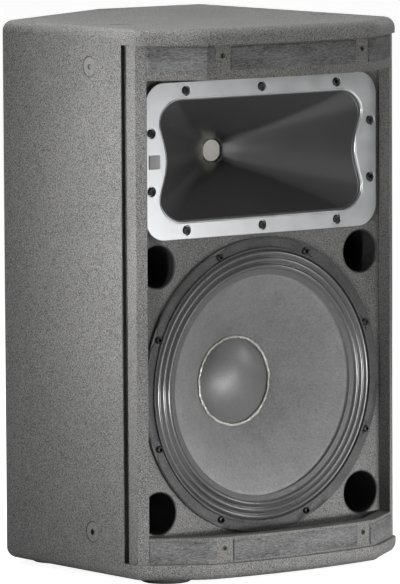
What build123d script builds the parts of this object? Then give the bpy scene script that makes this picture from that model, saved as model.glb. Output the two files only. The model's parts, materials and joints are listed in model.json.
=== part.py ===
"""A two-way loudspeaker cabinet for live sound, built panel by panel.

Millimetres, +Z up, front towards -Y, left and right as seen by someone facing the front (-X is left).
The origin is on the floor, under the middle of the cabinet's outer box.
"""

import os
from math import asin, atan2, cos, degrees, radians, sin, sqrt, tan

from build123d import *

os.makedirs("parts", exist_ok=True)

# Cabinet
cabinet_width = 437.0
cabinet_depth = 490.0
wall_height = 670.0
cap_thickness = 21.0
wall = 18.0
foot_height = 6.0
corner_radius = 17.0
wing_corner_radius = 28.0
bow_corner_radius = 90.0
cap_round_over = 14.0
bevel_width = 249.5
bevel_depth = 134.0
wing_width = 78.5
bow_sagitta = 12.0
wing_angle = 35.8
grille_rebate = 6.0
rebate_reach = 94.0
slot_skin = 1.5
slot_bite = 4.0
slot_ahead = 3.5
slot_behind = 8.0
baffle_set_back = 85.0
top_rail_height = 45.0
bottom_rail_height = 34.0
rail_thickness = 18.0
brace_thickness = 15.0
brace_frame_width = 45.0
panel_gap = 0.2

# Places on the front, from the underside of the walls
woofer_height = 217.0
woofer_brace_gap = 4.0
brace_horn_gap = 6.0
port_side_gap = 3.0
port_gap_below = 5.76
port_gap_above = 11.975
port_brace_gap = 3.5
board_brace_gap = 21.0

# Woofer
frame_radius = 194.0
frame_flange = 5.0
bolt_inset = 8.5
woofer_bolt_count = 8
woofer_bolt_radius = 2.9
frame_seat_width = 16.0
skirt_depth = 25.0
skirt_wall = 4.0
rim_width = 2.5
rim_height = 3.0
surround_width = 26.0
surround_rolls = 3
cone_paper = 1.2
cone_rim_depth = 0.8
cone_neck_depth = 79.5
cone_bulge = 1.7
cap_radius = 56.5
cap_dome = 17.0
coil_former_radius = 38.0
coil_former_wall = 0.4
coil_winding = 1.2
coil_winding_length = 16.0
coil_gap = 1.0
basket_depth = 104.0
basket_plate = 6.0
basket_leg_width = 20.0
motor_radius = 88.0
magnet_radius = 95.0
magnet_thickness = 22.0
motor_plate = 10.0
pole_radius = 36.8
pole_vent_radius = 12.0

# Horn and compression driver
horn_width = 382.0
horn_rise = 204.0
horn_corner = 30.0
horn_flange = 6.0
horn_wall = 4.0
horn_cutout_gap = 2.0
mouth_half_width = 162.0
mouth_half_rise = 78.0
mouth_corner = 38.0
throat_corner = 9.0
throat_radius = 12.7
throat_half_width = 13.3
throat_half_rise = 15.2
horn_depth = 109.0
horn_boss_radius = 45.0
horn_boss_length = 10.0
horn_screw_radius = 2.4
horn_screw_seat_radius = 6.5
horn_screw_row_half = 124.5
horn_screw_row_rise = 90.5
horn_screw_side_half = 181.0
horn_screw_side_rise = 37.5
driver_radius = 50.0
driver_magnet_radius = 58.0
driver_plate = 8.0
driver_magnet_thickness = 20.0
dome_radius = 22.0

# Ports, feet, fittings
port_radius = 27.3
port_wall = 2.2
port_length = 90.0
foot_radius = 33.0
foot_inset = 62.0
foot_screw_radius = 2.4
eye_thread_radius = 4.25
eye_boss_radius = 8.0
eye_flange_radius = 15.0
eye_flange_thickness = 5.0
eye_screw_head_radius = 13.5
eye_screw_head_height = 2.4
eye_set_back = 161.5
eye_port_drop = 27.0
eye_inset_high = 31.0
top_eye_side_inset = 50.5
rear_eye_x = 24.0
rear_eye_gap = 27.0
pole_bore_radius = 17.75
pole_bore_depth = 88.0
pole_wall = 3.0
pole_flange_radius = 46.0
pole_flange_thickness = 3.0
grille_hole_radius = 1.6
grille_hole_half_spacing = 115.0
grille_hole_from_top = 14.5
grille_hole_from_bottom = 19.5
strip_thickness = 1.5
pad_half_width = 12.5
plate_width = 124.0
plate_rise = 174.0
plate_thickness = 2.5
plate_cutout_margin = 12.0
plate_sink = 2.0
socket_radius = 12.0
socket_core_radius = 4.6
socket_flange = 1.6
handle_width = 196.0
handle_rise = 126.0
handle_pocket_width = 156.0
handle_pocket_rise = 86.0
handle_pocket_depth = 58.0
handle_sheet = 2.0
handle_sink = 1.4
handle_flange_corner = 12.0
handle_pocket_corner = 18.0
grip_radius = 12.0
fit_gap = 0.3

# Derived planes and places
half_width = cabinet_width / 2
bow_half_width = half_width - wing_width
front = -cabinet_depth / 2
rear = cabinet_depth / 2
floor_cap_top = foot_height + cap_thickness
walls_top = floor_cap_top + wall_height
cabinet_top = walls_top + cap_thickness
baffle_face = front + baffle_set_back
baffle_back = baffle_face + wall
step_line = front + rebate_reach
left_corner = rear - bevel_depth
bevel_end = bevel_width - half_width
bevel_angle = degrees(atan2(bevel_depth, bevel_width))
inner_half = half_width - wall
wing_end = front + bow_sagitta + (half_width - bow_half_width) * tan(radians(wing_angle))
inner_left_corner = left_corner - wall * (1 - sin(radians(bevel_angle))) / cos(radians(bevel_angle))
inner_bevel_end = bevel_end + wall * (1 - cos(radians(bevel_angle))) / sin(radians(bevel_angle))
inner_rear = rear - wall
woofer_z = floor_cap_top + woofer_height
cutout_radius = frame_radius - frame_seat_width
bolt_circle_radius = frame_radius - bolt_inset
surround_inner_radius = cutout_radius - surround_width
port_outer = port_radius + port_wall
port_x = inner_half - port_outer - port_side_gap
eye_y = front + eye_set_back
far = cabinet_width + cabinet_depth



def port_rise(gap):
    """How far from the woofer's height a port sits, to clear its frame and the port on the other side."""
    return sqrt(max((frame_radius + port_outer + gap) ** 2 - port_x**2, (port_outer + gap) ** 2))


port_zs = (woofer_z - port_rise(port_gap_below), woofer_z + port_rise(port_gap_above))
brace_z = max(woofer_z + frame_radius + woofer_brace_gap, port_zs[1] + port_outer + port_brace_gap)
horn_z = brace_z + brace_thickness + brace_horn_gap + horn_wall + mouth_half_rise

woofer_plane = Plane((0, 0, woofer_z))
horn_plane = Plane((0, 0, horn_z))


def facing_front(x, y, z):
    """A plane that faces the listener, its first axis to the right."""
    return Plane((x, y, z), x_dir=(1, 0, 0), z_dir=(0, -1, 0))


def keep(piece, label):
    """Names a finished piece and writes its file."""
    piece.part.label = label
    export_step(piece.part, "parts/" + label + ".step")


def front_line(inset):
    """The bowed front from the right wing's end to the left one's, set in from the caps' edge."""
    corner_x = bow_half_width - inset * tan(radians(wing_angle / 2))
    corner_y = front + bow_sagitta + inset
    side_x = half_width - inset
    side_y = corner_y + (side_x - corner_x) * tan(radians(wing_angle))
    Line((side_x, side_y), (corner_x, corner_y))
    ThreePointArc((corner_x, corner_y), (0, front + inset), (-corner_x, corner_y))
    Line((-corner_x, corner_y), (-side_x, side_y))
    return side_x, side_y


def corners_at(sketch, y):
    """The corners of a sketch that lie at one depth."""
    return sketch.vertices().filter_by_position(Axis.Y, y - 1, y + 1)


def plan(inset=0.0):
    """The cabinet's outline from above, drawn into the sketch that is open."""
    with BuildLine() as edge:
        side_x, side_y = front_line(inset)
        Polyline(
            (-side_x, side_y),
            (-side_x, left_corner),
            (bevel_end, rear),
            (side_x, rear),
            (side_x, side_y),
        )
    make_face(edge.edges())


def walls_plan():
    """The walls from above: full width behind the rebate's step, set in for the grille in front of it.

    A slot for the grille's folded edge is cut in at the foot of the step.
    """
    plan(grille_rebate)
    with Locations((0, step_line + far / 2)):
        Rectangle(far, far, mode=Mode.SUBTRACT)
    with BuildSketch(mode=Mode.PRIVATE) as behind:
        plan()
        fillet(corners_at(behind, rear), corner_radius)
        fillet(corners_at(behind, left_corner), corner_radius)
        with Locations((0, step_line - far / 2)):
            Rectangle(far, far, mode=Mode.SUBTRACT)
    add(behind.sketch)
    with BuildLine() as inside:
        Polyline(
            (-inner_half, -far),
            (-inner_half, inner_left_corner),
            (inner_bevel_end, inner_rear),
            (inner_half, inner_rear),
            (inner_half, -far),
            close=True,
        )
    make_face(inside.edges(), mode=Mode.SUBTRACT)
    slot_width = grille_rebate - slot_skin + slot_bite
    slot_x = half_width - slot_skin - slot_width / 2
    slot_y = step_line + (slot_behind - slot_ahead) / 2
    with Locations((-slot_x, slot_y), (slot_x, slot_y)):
        Rectangle(slot_width, slot_ahead + slot_behind, mode=Mode.SUBTRACT)


def wall_panel(*region):
    """One wall between the caps: the walls' plan kept only inside a region with mitred ends."""
    with BuildPart() as panel:
        with BuildSketch(Plane.XY.offset(floor_cap_top)):
            walls_plan()
            with BuildLine():
                Polyline(*region, close=True)
            make_face(mode=Mode.INTERSECT)
        extrude(amount=wall_height)
    return panel.part


def cap_panel(bottom, rounded_group):
    """The top or the bottom: the full outline, its outer edge rounded over."""
    with BuildPart() as cap:
        with BuildSketch(Plane.XY.offset(bottom)) as outline:
            plan()
            fillet(corners_at(outline, rear), corner_radius)
            fillet(corners_at(outline, left_corner), corner_radius)
            fillet(corners_at(outline, front + bow_sagitta), bow_corner_radius)
            fillet(corners_at(outline, wing_end), wing_corner_radius)
        extrude(amount=cap_thickness)
        fillet(cap.faces().sort_by(Axis.Z)[rounded_group].edges(), cap_round_over)
    return cap.part


def turned(plane, points):
    """A piece turned about a driver's axis from half of its section, given as radius and depth."""
    with BuildPart() as piece:
        with BuildSketch(plane):
            with BuildLine():
                Polyline(*points, close=True)
            make_face()
        revolve(axis=Axis(plane.origin, plane.y_dir))
    return piece


def ring(plane, inner, outer, y_from, y_to):
    """A flat ring or tube about a driver's axis."""
    return turned(plane, ((inner, y_from), (outer, y_from), (outer, y_to), (inner, y_to)))


def rolled_ring(plane, inner, outer, y, rolls, height, sheet):
    """A corrugated ring about a driver's axis: rolls standing forward of a thin sheet."""
    roll = (outer - inner) / rolls
    with BuildPart() as piece:
        with BuildSketch(plane):
            with BuildLine():
                for index in range(rolls):
                    start = inner + index * roll
                    ThreePointArc((start, y), (start + roll / 2, y - height), (start + roll, y))
                Polyline((outer, y), (outer, y + sheet), (inner, y + sheet), (inner, y))
            make_face()
        revolve(axis=Axis(plane.origin, plane.y_dir))
    return piece


def screws(planes, shank_radius, length, head_radius, head_height, socket_radius_, under=0.0):
    """Socket screws seated on planes that face out of the surface; under is air below the head."""
    with BuildPart() as group:
        with Locations(*[Location(plane) for plane in planes]):
            Cylinder(shank_radius, length, align=(Align.CENTER, Align.CENTER, Align.MAX))
            Cylinder(head_radius, head_height, align=(Align.CENTER, Align.CENTER, Align.MIN))
        with BuildSketch(*[plane.offset(head_height) for plane in planes]):
            RegularPolygon(socket_radius_, 6)
        extrude(amount=-head_height * 0.7, mode=Mode.SUBTRACT)
    return group


def bored(piece_planes, radius, depth):
    """Cuts a round hole down from each plane into the part that is open."""
    with Locations(*[Location(plane) for plane in piece_planes]):
        Cylinder(radius, depth, align=(Align.CENTER, Align.CENTER, Align.MAX), mode=Mode.SUBTRACT)


# Rigging points: each has a steel insert through its panel; left and top ones carry a blanking screw.
eye_zs = (port_zs[0] - eye_port_drop, walls_top - eye_inset_high)
top_eye_x = half_width - top_eye_side_inset
left_eyes = [
    Plane((-half_width, eye_y, z), x_dir=(0, 1, 0), z_dir=(-1, 0, 0))
    for z in eye_zs
]
right_eyes = [
    Plane((half_width, eye_y, z), x_dir=(0, 1, 0), z_dir=(1, 0, 0))
    for z in eye_zs
]
top_eye_places = ((-top_eye_x, eye_y), (top_eye_x, eye_y), (rear_eye_x, inner_rear - rear_eye_gap))
top_eyes = [Plane((x, y, cabinet_top)) for x, y in top_eye_places]
rear_plate_x = (inner_bevel_end + inner_half) / 2
rear_eye = Plane((rear_plate_x, rear, walls_top - 70.0), x_dir=(-1, 0, 0), z_dir=(0, 1, 0))

# Handle, input plate and feet
handle_y = 22.0
handle_z = horn_z + 10.0
plate_z = floor_cap_top + 150.0
handle_plane = Plane((half_width - handle_sink, handle_y, handle_z), x_dir=(0, 1, 0), z_dir=(1, 0, 0))
plate_plane = Plane((rear_plate_x, rear - plate_sink, plate_z), x_dir=(-1, 0, 0), z_dir=(0, 1, 0))
foot_places = (
    (-half_width + foot_inset, step_line - 8.0),
    (half_width - foot_inset, step_line - 8.0),
    (half_width - foot_inset, rear - foot_inset),
    (-half_width + foot_inset, left_corner - foot_inset + 30.0),
)
foot_planes = [Plane((x, y, foot_height), x_dir=(1, 0, 0), z_dir=(0, 0, -1)) for x, y in foot_places]
pole_place = (0.0, 10.0)
pole_plane = Plane((*pole_place, foot_height), x_dir=(1, 0, 0), z_dir=(0, 0, -1))
pole_screw_planes = [
    Plane((pole_place[0] + x, pole_place[1] + y, foot_height - pole_flange_thickness), z_dir=(0, 0, -1))
    for x, y in ((28, 28), (-28, 28), (28, -28), (-28, -28))
]

# ---- Wooden box ----
left_region = (
    (-far, -far),
    (-inner_half, -far),
    (-inner_half, inner_left_corner),
    (-half_width, left_corner),
    (-far, left_corner + (far - half_width) * (left_corner - inner_left_corner) / wall),
)
with BuildPart() as side_panel_left:
    add(wall_panel(*left_region))
    bored(left_eyes, eye_boss_radius, wall)
    bored(left_eyes, eye_screw_head_radius + fit_gap, eye_screw_head_height)
keep(side_panel_left, "side_panel_left")

right_region = (
    (inner_half, -far),
    (far, -far),
    (far, rear + far - half_width),
    (half_width, rear),
    (inner_half, inner_rear),
)
handle_screw_places = [(x, y) for x in (-handle_width / 2 + 10, 0, handle_width / 2 - 10)
                       for y in (-handle_rise / 2 + 10, handle_rise / 2 - 10)]
with BuildPart() as side_panel_right:
    add(wall_panel(*right_region))
    bored(right_eyes, eye_boss_radius, wall)
    with BuildSketch(handle_plane):
        RectangleRounded(handle_pocket_width + 2 * handle_sheet + 2 * fit_gap,
                         handle_pocket_rise + 2 * handle_sheet + 2 * fit_gap,
                         handle_pocket_corner + handle_sheet + fit_gap)
    extrude(amount=-wall, mode=Mode.SUBTRACT)
    with BuildSketch(handle_plane.offset(handle_sink)):
        RectangleRounded(handle_width + 2 * fit_gap, handle_rise + 2 * fit_gap,
                         handle_flange_corner + fit_gap)
    extrude(amount=-handle_sink - handle_sheet, mode=Mode.SUBTRACT)
    with BuildSketch(handle_plane):
        with Locations(*handle_screw_places):
            Circle(2.0)
    extrude(amount=-wall + 3, mode=Mode.SUBTRACT)
keep(side_panel_right, "side_panel_right")

bevel_region = (
    (-far, left_corner + (far - half_width) * (left_corner - inner_left_corner) / wall),
    (-half_width, left_corner),
    (-inner_half, inner_left_corner),
    (inner_bevel_end, inner_rear),
    (bevel_end, rear),
    (bevel_end - far * (inner_bevel_end - bevel_end) / wall, rear + far),
)
with BuildPart() as rear_bevel_panel:
    add(wall_panel(*bevel_region))
keep(rear_bevel_panel, "rear_bevel_panel")

rear_region = (
    (bevel_end - far * (inner_bevel_end - bevel_end) / wall, rear + far),
    (bevel_end, rear),
    (inner_bevel_end, inner_rear),
    (inner_half, inner_rear),
    (half_width, rear),
    (far, rear + far - half_width),
)
plate_screw_places = [(x, y) for x in (-plate_width / 2 + 6, plate_width / 2 - 6)
                      for y in (-plate_rise / 2 + 6, 0, plate_rise / 2 - 6)]
with BuildPart() as rear_panel:
    add(wall_panel(*rear_region))
    bored([rear_eye], eye_boss_radius, wall)
    with BuildSketch(plate_plane):
        Rectangle(plate_width - 2 * plate_cutout_margin, plate_rise - 2 * plate_cutout_margin)
    extrude(amount=-wall, mode=Mode.SUBTRACT)
    with BuildSketch(plate_plane.offset(plate_sink)):
        RectangleRounded(plate_width + 2 * fit_gap, plate_rise + 2 * fit_gap, 4)
    extrude(amount=-plate_sink - plate_thickness, mode=Mode.SUBTRACT)
    with BuildSketch(plate_plane):
        with Locations(*plate_screw_places):
            Circle(1.7)
    extrude(amount=-wall + 2, mode=Mode.SUBTRACT)
keep(rear_panel, "rear_panel")

with BuildPart() as top_panel:
    add(cap_panel(walls_top, -1))
    bored(top_eyes, eye_boss_radius, cap_thickness)
    bored(top_eyes, eye_screw_head_radius + fit_gap, eye_screw_head_height)
keep(top_panel, "top_panel")

with BuildPart() as bottom_panel:
    add(cap_panel(foot_height, 0))
    bored([pole_plane], pole_bore_radius + pole_wall + fit_gap, cap_thickness)
    bored(foot_planes, foot_screw_radius + 0.1, 14.0)
    bored(pole_screw_planes, 2.1, 14.0 + pole_flange_thickness)
keep(bottom_panel, "bottom_panel")

horn_screw_places = [
    *[(x, z) for x in (-horn_screw_row_half, 0, horn_screw_row_half)
      for z in (-horn_screw_row_rise, horn_screw_row_rise)],
    *[(x, z) for x in (-horn_screw_side_half, horn_screw_side_half)
      for z in (-horn_screw_side_rise, horn_screw_side_rise)],
]
horn_face = facing_front(0, baffle_face, horn_z)
woofer_face = facing_front(0, baffle_face, woofer_z)
port_places = [(x, z) for z in port_zs for x in (-port_x, port_x)]
with BuildPart() as front_baffle:
    with BuildSketch(facing_front(0, baffle_face, floor_cap_top)):
        Rectangle(2 * (inner_half - panel_gap), wall_height, align=(Align.CENTER, Align.MIN))
    extrude(amount=-wall)
    with BuildSketch(woofer_face):
        Circle(cutout_radius)
        with PolarLocations(bolt_circle_radius, woofer_bolt_count, start_angle=22.5):
            Circle(woofer_bolt_radius + 0.1)
    extrude(amount=-wall, mode=Mode.SUBTRACT)
    with BuildSketch(horn_face):
        RectangleRounded(2 * (mouth_half_width + horn_wall + horn_cutout_gap),
                         2 * (mouth_half_rise + horn_wall + horn_cutout_gap), mouth_corner + horn_wall)
        with Locations(*horn_screw_places):
            Circle(horn_screw_radius + 0.1)
    extrude(amount=-wall, mode=Mode.SUBTRACT)
    with BuildSketch(facing_front(0, baffle_face, 0)):
        with Locations(*port_places):
            Circle(port_outer)
    extrude(amount=-wall, mode=Mode.SUBTRACT)
keep(front_baffle, "front_baffle")

with BuildPart() as shelf_brace:
    with BuildSketch(Plane.XY.offset(brace_z)):
        with BuildLine():
            Polyline(
                (-inner_half, baffle_back),
                (-inner_half, inner_left_corner),
                (inner_bevel_end, inner_rear),
                (inner_half, inner_rear),
                (inner_half, baffle_back),
                close=True,
            )
        make_face()
        offset(amount=-brace_frame_width, kind=Kind.INTERSECTION, mode=Mode.SUBTRACT)
    extrude(amount=brace_thickness)
keep(shelf_brace, "shelf_brace")


def front_band(outer_inset, inner_inset, bottom, height):
    """A bowed layer between two insets, cut off at the side panels."""
    with BuildPart() as band:
        with BuildSketch(Plane.XY.offset(bottom)):
            for inset, mode in ((outer_inset, Mode.ADD), (inner_inset, Mode.SUBTRACT)):
                with BuildLine():
                    side_x, side_y = front_line(inset)
                    Polyline((-side_x, side_y), (-side_x, rear), (side_x, rear), (side_x, side_y))
                make_face(mode=mode)
            with Locations((0, (front + baffle_face) / 2)):
                Rectangle(2 * inner_half, baffle_set_back, mode=Mode.INTERSECT)
        extrude(amount=height)
    return band.part


def rail(bottom, height, hole_z):
    """A wooden strip behind the grille's upper or lower edge, with its two grille screw holes."""
    with BuildPart() as strip:
        add(front_band(grille_rebate, grille_rebate + rail_thickness, bottom, height))
        hole_xs = (-grille_hole_half_spacing, grille_hole_half_spacing)
        bored([facing_front(x, front, hole_z) for x in hole_xs], grille_hole_radius, baffle_set_back)
    return strip


keep(rail(walls_top - top_rail_height, top_rail_height, walls_top - grille_hole_from_top), "top_grille_rail")
keep(rail(floor_cap_top, bottom_rail_height, floor_cap_top + grille_hole_from_bottom), "bottom_grille_rail")

with BuildPart() as rail_foam_strips:
    add(front_band(grille_rebate - strip_thickness, grille_rebate, walls_top - 33.0, 30.0))
    add(front_band(grille_rebate - strip_thickness, grille_rebate, floor_cap_top + 3.0, 27.0))
    pad_xs = (-grille_hole_half_spacing, grille_hole_half_spacing)
    with Locations(*[(x, front, cabinet_top / 2) for x in pad_xs]):
        Box(2 * pad_half_width, baffle_set_back, cabinet_top, mode=Mode.SUBTRACT)
keep(rail_foam_strips, "rail_foam_strips")

# ---- Feet, rigging, pole socket ----
with BuildPart() as rubber_feet:
    with Locations(*[Location(plane) for plane in foot_planes]):
        Cylinder(foot_radius, foot_height, align=(Align.CENTER, Align.CENTER, Align.MIN))
    fillet(rubber_feet.faces().group_by(Axis.Z)[0].edges(), 2.0)
    bored([plane.offset(foot_height) for plane in foot_planes], 5.5, foot_height - 2.0)
    bored([plane.offset(foot_height) for plane in foot_planes], foot_screw_radius + 0.1, foot_height)
keep(rubber_feet, "rubber_feet")
foot_seats = [plane.offset(2.0) for plane in foot_planes]
keep(screws(foot_seats, foot_screw_radius, 15.0, 4.6, 2.6, 1.7), "foot_screws")

with BuildPart() as rigging_inserts:
    for planes, panel, sunk in (
        (left_eyes, wall, eye_screw_head_height),
        (top_eyes, cap_thickness, eye_screw_head_height),
        ([*right_eyes, rear_eye], wall, 0.0),
    ):
        with Locations(*[Location(plane.offset(-sunk)) for plane in planes]):
            Cylinder(eye_boss_radius, panel - sunk, align=(Align.CENTER, Align.CENTER, Align.MAX))
        with Locations(*[Location(plane.offset(-panel)) for plane in planes]):
            Cylinder(eye_flange_radius, eye_flange_thickness, align=(Align.CENTER, Align.CENTER, Align.MAX))
        bored(planes, eye_thread_radius, panel + eye_flange_thickness)
keep(rigging_inserts, "rigging_inserts")
eye_seats = [plane.offset(-eye_screw_head_height) for plane in left_eyes + top_eyes]
keep(screws(eye_seats, eye_thread_radius, wall, eye_screw_head_radius, eye_screw_head_height, 4.0),
     "rigging_blank_screws")

with BuildPart() as pole_socket:
    with Locations(Location(pole_plane)):
        Cylinder(pole_flange_radius, pole_flange_thickness, align=(Align.CENTER, Align.CENTER, Align.MIN))
        Cylinder(pole_bore_radius + pole_wall, pole_bore_depth + pole_wall,
                 align=(Align.CENTER, Align.CENTER, Align.MAX))
    bore_mouth = pole_plane.offset(pole_flange_thickness)
    bored([bore_mouth], pole_bore_radius, pole_bore_depth + pole_flange_thickness)
    bored(pole_screw_planes, 2.1, pole_flange_thickness)
keep(pole_socket, "pole_socket")
keep(screws(pole_screw_planes, 2.0, 14.0, 3.8, 1.8, 1.4), "pole_socket_screws")

# ---- Ports ----
with BuildPart() as port_tubes:
    port_planes = [facing_front(x, baffle_face, z) for x, z in port_places]
    with Locations(*[Location(plane) for plane in port_planes]):
        Cylinder(port_outer, port_length, align=(Align.CENTER, Align.CENTER, Align.MAX))
    bored(port_planes, port_radius, port_length)
    for mouth in port_tubes.faces().group_by(Axis.Y)[0]:
        fillet(mouth.inner_wires()[0].edges(), port_wall * 0.8)
keep(port_tubes, "port_tubes")

# ---- Woofer ----
seat = baffle_face
flange_front = seat - frame_flange
depth_zero = flange_front - 1.0
ring_front = depth_zero + basket_depth
ring_back = ring_front + basket_plate
skirt_outer = cutout_radius - 2.0
skirt_inner = skirt_outer - skirt_wall
spider_outer = 88.0
leg = (
    (skirt_outer, seat + skirt_depth - 2),
    (skirt_outer, seat + skirt_depth + 5),
    (spider_outer + 16, ring_back),
    (spider_outer + 4, ring_back),
    (spider_outer + 4, ring_front),
    (spider_outer + 10, ring_front),
    (skirt_inner - 2, seat + skirt_depth + 1),
    (skirt_inner - 2, seat + skirt_depth - 2),
)
frame_section = (
    (skirt_inner - 2, flange_front),
    (frame_radius, flange_front),
    (frame_radius, seat),
    (skirt_outer, seat),
    (skirt_outer, seat + skirt_depth),
    (skirt_inner, seat + skirt_depth),
    (skirt_inner, seat),
    (skirt_inner - 2, seat),
)
leg_angles = [22.5 + index * 360 / woofer_bolt_count for index in range(woofer_bolt_count)]
with BuildPart() as woofer_frame:
    add(turned(woofer_plane, frame_section).part)
    for angle in leg_angles:
        turn = radians(angle)
        side = Vector(-sin(turn), 0, cos(turn))
        leg_plane = Plane((0, 0, woofer_z), x_dir=(cos(turn), 0, sin(turn)), z_dir=side * -1)
        with BuildSketch(leg_plane):
            with BuildLine():
                Polyline(*[(r, y) if leg_plane.y_dir.Y > 0 else (r, -y) for r, y in leg], close=True)
            make_face()
        extrude(amount=basket_leg_width / 2, both=True)
    with BuildSketch(woofer_plane):
        with BuildLine():
            Polyline(
                (spider_outer - 4, ring_front - 12),
                (spider_outer + 4, ring_front - 12),
                (spider_outer + 4, ring_front),
                (spider_outer + 12, ring_front),
                (spider_outer + 12, ring_back),
                (60, ring_back),
                (60, ring_front),
                (spider_outer - 4, ring_front),
                close=True,
            )
        make_face()
    revolve(axis=Axis(woofer_plane.origin, woofer_plane.y_dir))
    with BuildSketch(facing_front(0, flange_front, woofer_z)):
        with PolarLocations(bolt_circle_radius, woofer_bolt_count, start_angle=22.5):
            Circle(woofer_bolt_radius + 0.1)
    extrude(amount=-frame_flange, mode=Mode.SUBTRACT)
keep(woofer_frame, "woofer_frame")

keep(ring(woofer_plane, cutout_radius, cutout_radius + rim_width, flange_front - rim_height, flange_front),
     "woofer_rim_gasket")
bolt_planes = [
    facing_front(bolt_circle_radius * cos(radians(angle)), flange_front,
                 woofer_z + bolt_circle_radius * sin(radians(angle)))
    for angle in leg_angles
]
keep(screws(bolt_planes, woofer_bolt_radius, frame_flange + wall - 1, 4.8, 4.5, 2.6), "woofer_bolts")

surround_y = flange_front - 1.0
keep(rolled_ring(woofer_plane, surround_inner_radius, cutout_radius - 0.2, surround_y, surround_rolls,
                 2.6, 0.9), "woofer_surround")
cone_edge = surround_inner_radius - 0.2
neck = coil_former_radius + 0.3
cone_rim_y = depth_zero + cone_rim_depth
cone_neck_y = depth_zero + cone_neck_depth
mid_radius = (cone_edge + neck) / 2
mid_y = (cone_rim_y + cone_neck_y) / 2 - cone_bulge


def cone_front(radius):
    """Depth of the cone's front face at a radius, near enough for what is glued to it."""
    share = (cone_edge - radius) / (cone_edge - neck)
    straight = cone_rim_y + share * (cone_neck_y - cone_rim_y)
    return straight - 4 * cone_bulge * share * (1 - share)


with BuildPart() as woofer_cone:
    with BuildSketch(woofer_plane):
        with BuildLine():
            ThreePointArc((cone_edge, cone_rim_y), (mid_radius, mid_y), (neck, cone_neck_y))
            Line((neck, cone_neck_y), (neck, cone_neck_y + cone_paper))
            ThreePointArc((neck, cone_neck_y + cone_paper), (mid_radius, mid_y + cone_paper),
                          (cone_edge, cone_rim_y + cone_paper))
            Line((cone_edge, cone_rim_y + cone_paper), (cone_edge, cone_rim_y))
        make_face()
    revolve(axis=Axis(woofer_plane.origin, woofer_plane.y_dir))
keep(woofer_cone, "woofer_cone")


def dome(radius, edge_y, height):
    """Start, middle and end of the arc from a dome's top on the axis to its edge; height is along +Y."""
    sphere = (radius**2 + height**2) / (2 * abs(height))
    half_turn = asin(radius / sphere) / 2
    top = edge_y + height
    drop = sphere * (1 - cos(half_turn))
    return (0, top), (sphere * sin(half_turn), top - drop * (1 if height > 0 else -1)), (radius, edge_y)


def dome_shell(plane, radius, edge_y, height, sheet):
    """A thin domed cap about a driver's axis."""
    with BuildPart() as piece:
        with BuildSketch(plane):
            with BuildLine():
                ThreePointArc(*dome(radius, edge_y, height))
                Line((radius, edge_y), (radius, edge_y + sheet))
                ThreePointArc(*reversed(dome(radius, edge_y + sheet, height)))
                Line((0, edge_y + height + sheet), (0, edge_y + height))
            make_face()
        revolve(axis=Axis(plane.origin, plane.y_dir))
    return piece


cap_shell = 0.8
cap_edge_y = cone_front(cap_radius) - cap_shell - 0.5
keep(dome_shell(woofer_plane, cap_radius, cap_edge_y, -cap_dome, cap_shell), "woofer_dust_cap")

bead_radius = 1.4
with BuildPart() as glue_bead:
    with BuildSketch(woofer_plane):
        with Locations((cap_radius + bead_radius + 0.3, cone_front(cap_radius + bead_radius) - 2.4)):
            Circle(bead_radius)
    revolve(axis=Axis(woofer_plane.origin, woofer_plane.y_dir))
keep(glue_bead, "dust_cap_glue_bead")

plate_back = ring_back + motor_plate
magnet_back = plate_back + magnet_thickness
yoke_back = magnet_back + motor_plate
winding_outer = coil_former_radius + coil_winding
gap_middle = ring_back + motor_plate / 2
former_inner = coil_former_radius - coil_former_wall
keep(ring(woofer_plane, former_inner, coil_former_radius, cone_neck_y - 3,
          gap_middle + coil_winding_length / 2), "voice_coil_former")
keep(ring(woofer_plane, coil_former_radius + 0.02, winding_outer, gap_middle - coil_winding_length / 2,
          gap_middle + coil_winding_length / 2), "voice_coil_winding")
keep(rolled_ring(woofer_plane, coil_former_radius + 0.3, spider_outer, ring_front - 12.8, 4, 2.4, 0.7),
     "woofer_spider")
keep(ring(woofer_plane, winding_outer + coil_gap, motor_radius, ring_back, plate_back), "woofer_front_plate")
keep(ring(woofer_plane, winding_outer + 12, magnet_radius, plate_back, magnet_back), "woofer_magnet")
keep(turned(woofer_plane, (
    (pole_vent_radius, ring_back - 2),
    (pole_radius, ring_back - 2),
    (pole_radius, magnet_back),
    (motor_radius, magnet_back),
    (motor_radius, yoke_back),
    (pole_vent_radius, yoke_back),
)), "woofer_back_plate_and_pole")

terminal_r = spider_outer + 9
with BuildPart() as woofer_terminals:
    with Locations((0, ring_back + 8, woofer_z + terminal_r + 7)):
        Box(28, 16, 14)
keep(woofer_terminals, "woofer_terminals")

lead_radius = 0.9
lead_start_r = 70.0
with BuildPart() as tinsel_leads:
    for x in (-8.0, 8.0):
        start_y = cone_front(lead_start_r) + cone_paper + 1.5
        end_y = ring_back - 0.2
        with BuildLine() as lead_path:
            FilletPolyline(
                (x, start_y, woofer_z + lead_start_r),
                (x, start_y + 9, woofer_z + lead_start_r + 6),
                (x, start_y + 14, woofer_z + lead_start_r + 22),
                (x, end_y - 14, woofer_z + terminal_r + 9),
                (x, end_y, woofer_z + terminal_r + 9),
                radius=4.0,
            )
        with BuildSketch(Plane(lead_path.line @ 0, z_dir=lead_path.line % 0)):
            Circle(lead_radius)
        sweep(path=lead_path.line)
keep(tinsel_leads, "woofer_tinsel_leads")

# ---- Horn ----
horn_front = baffle_face - horn_flange
throat_y = horn_front + horn_depth
horn_sections = 5


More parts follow.
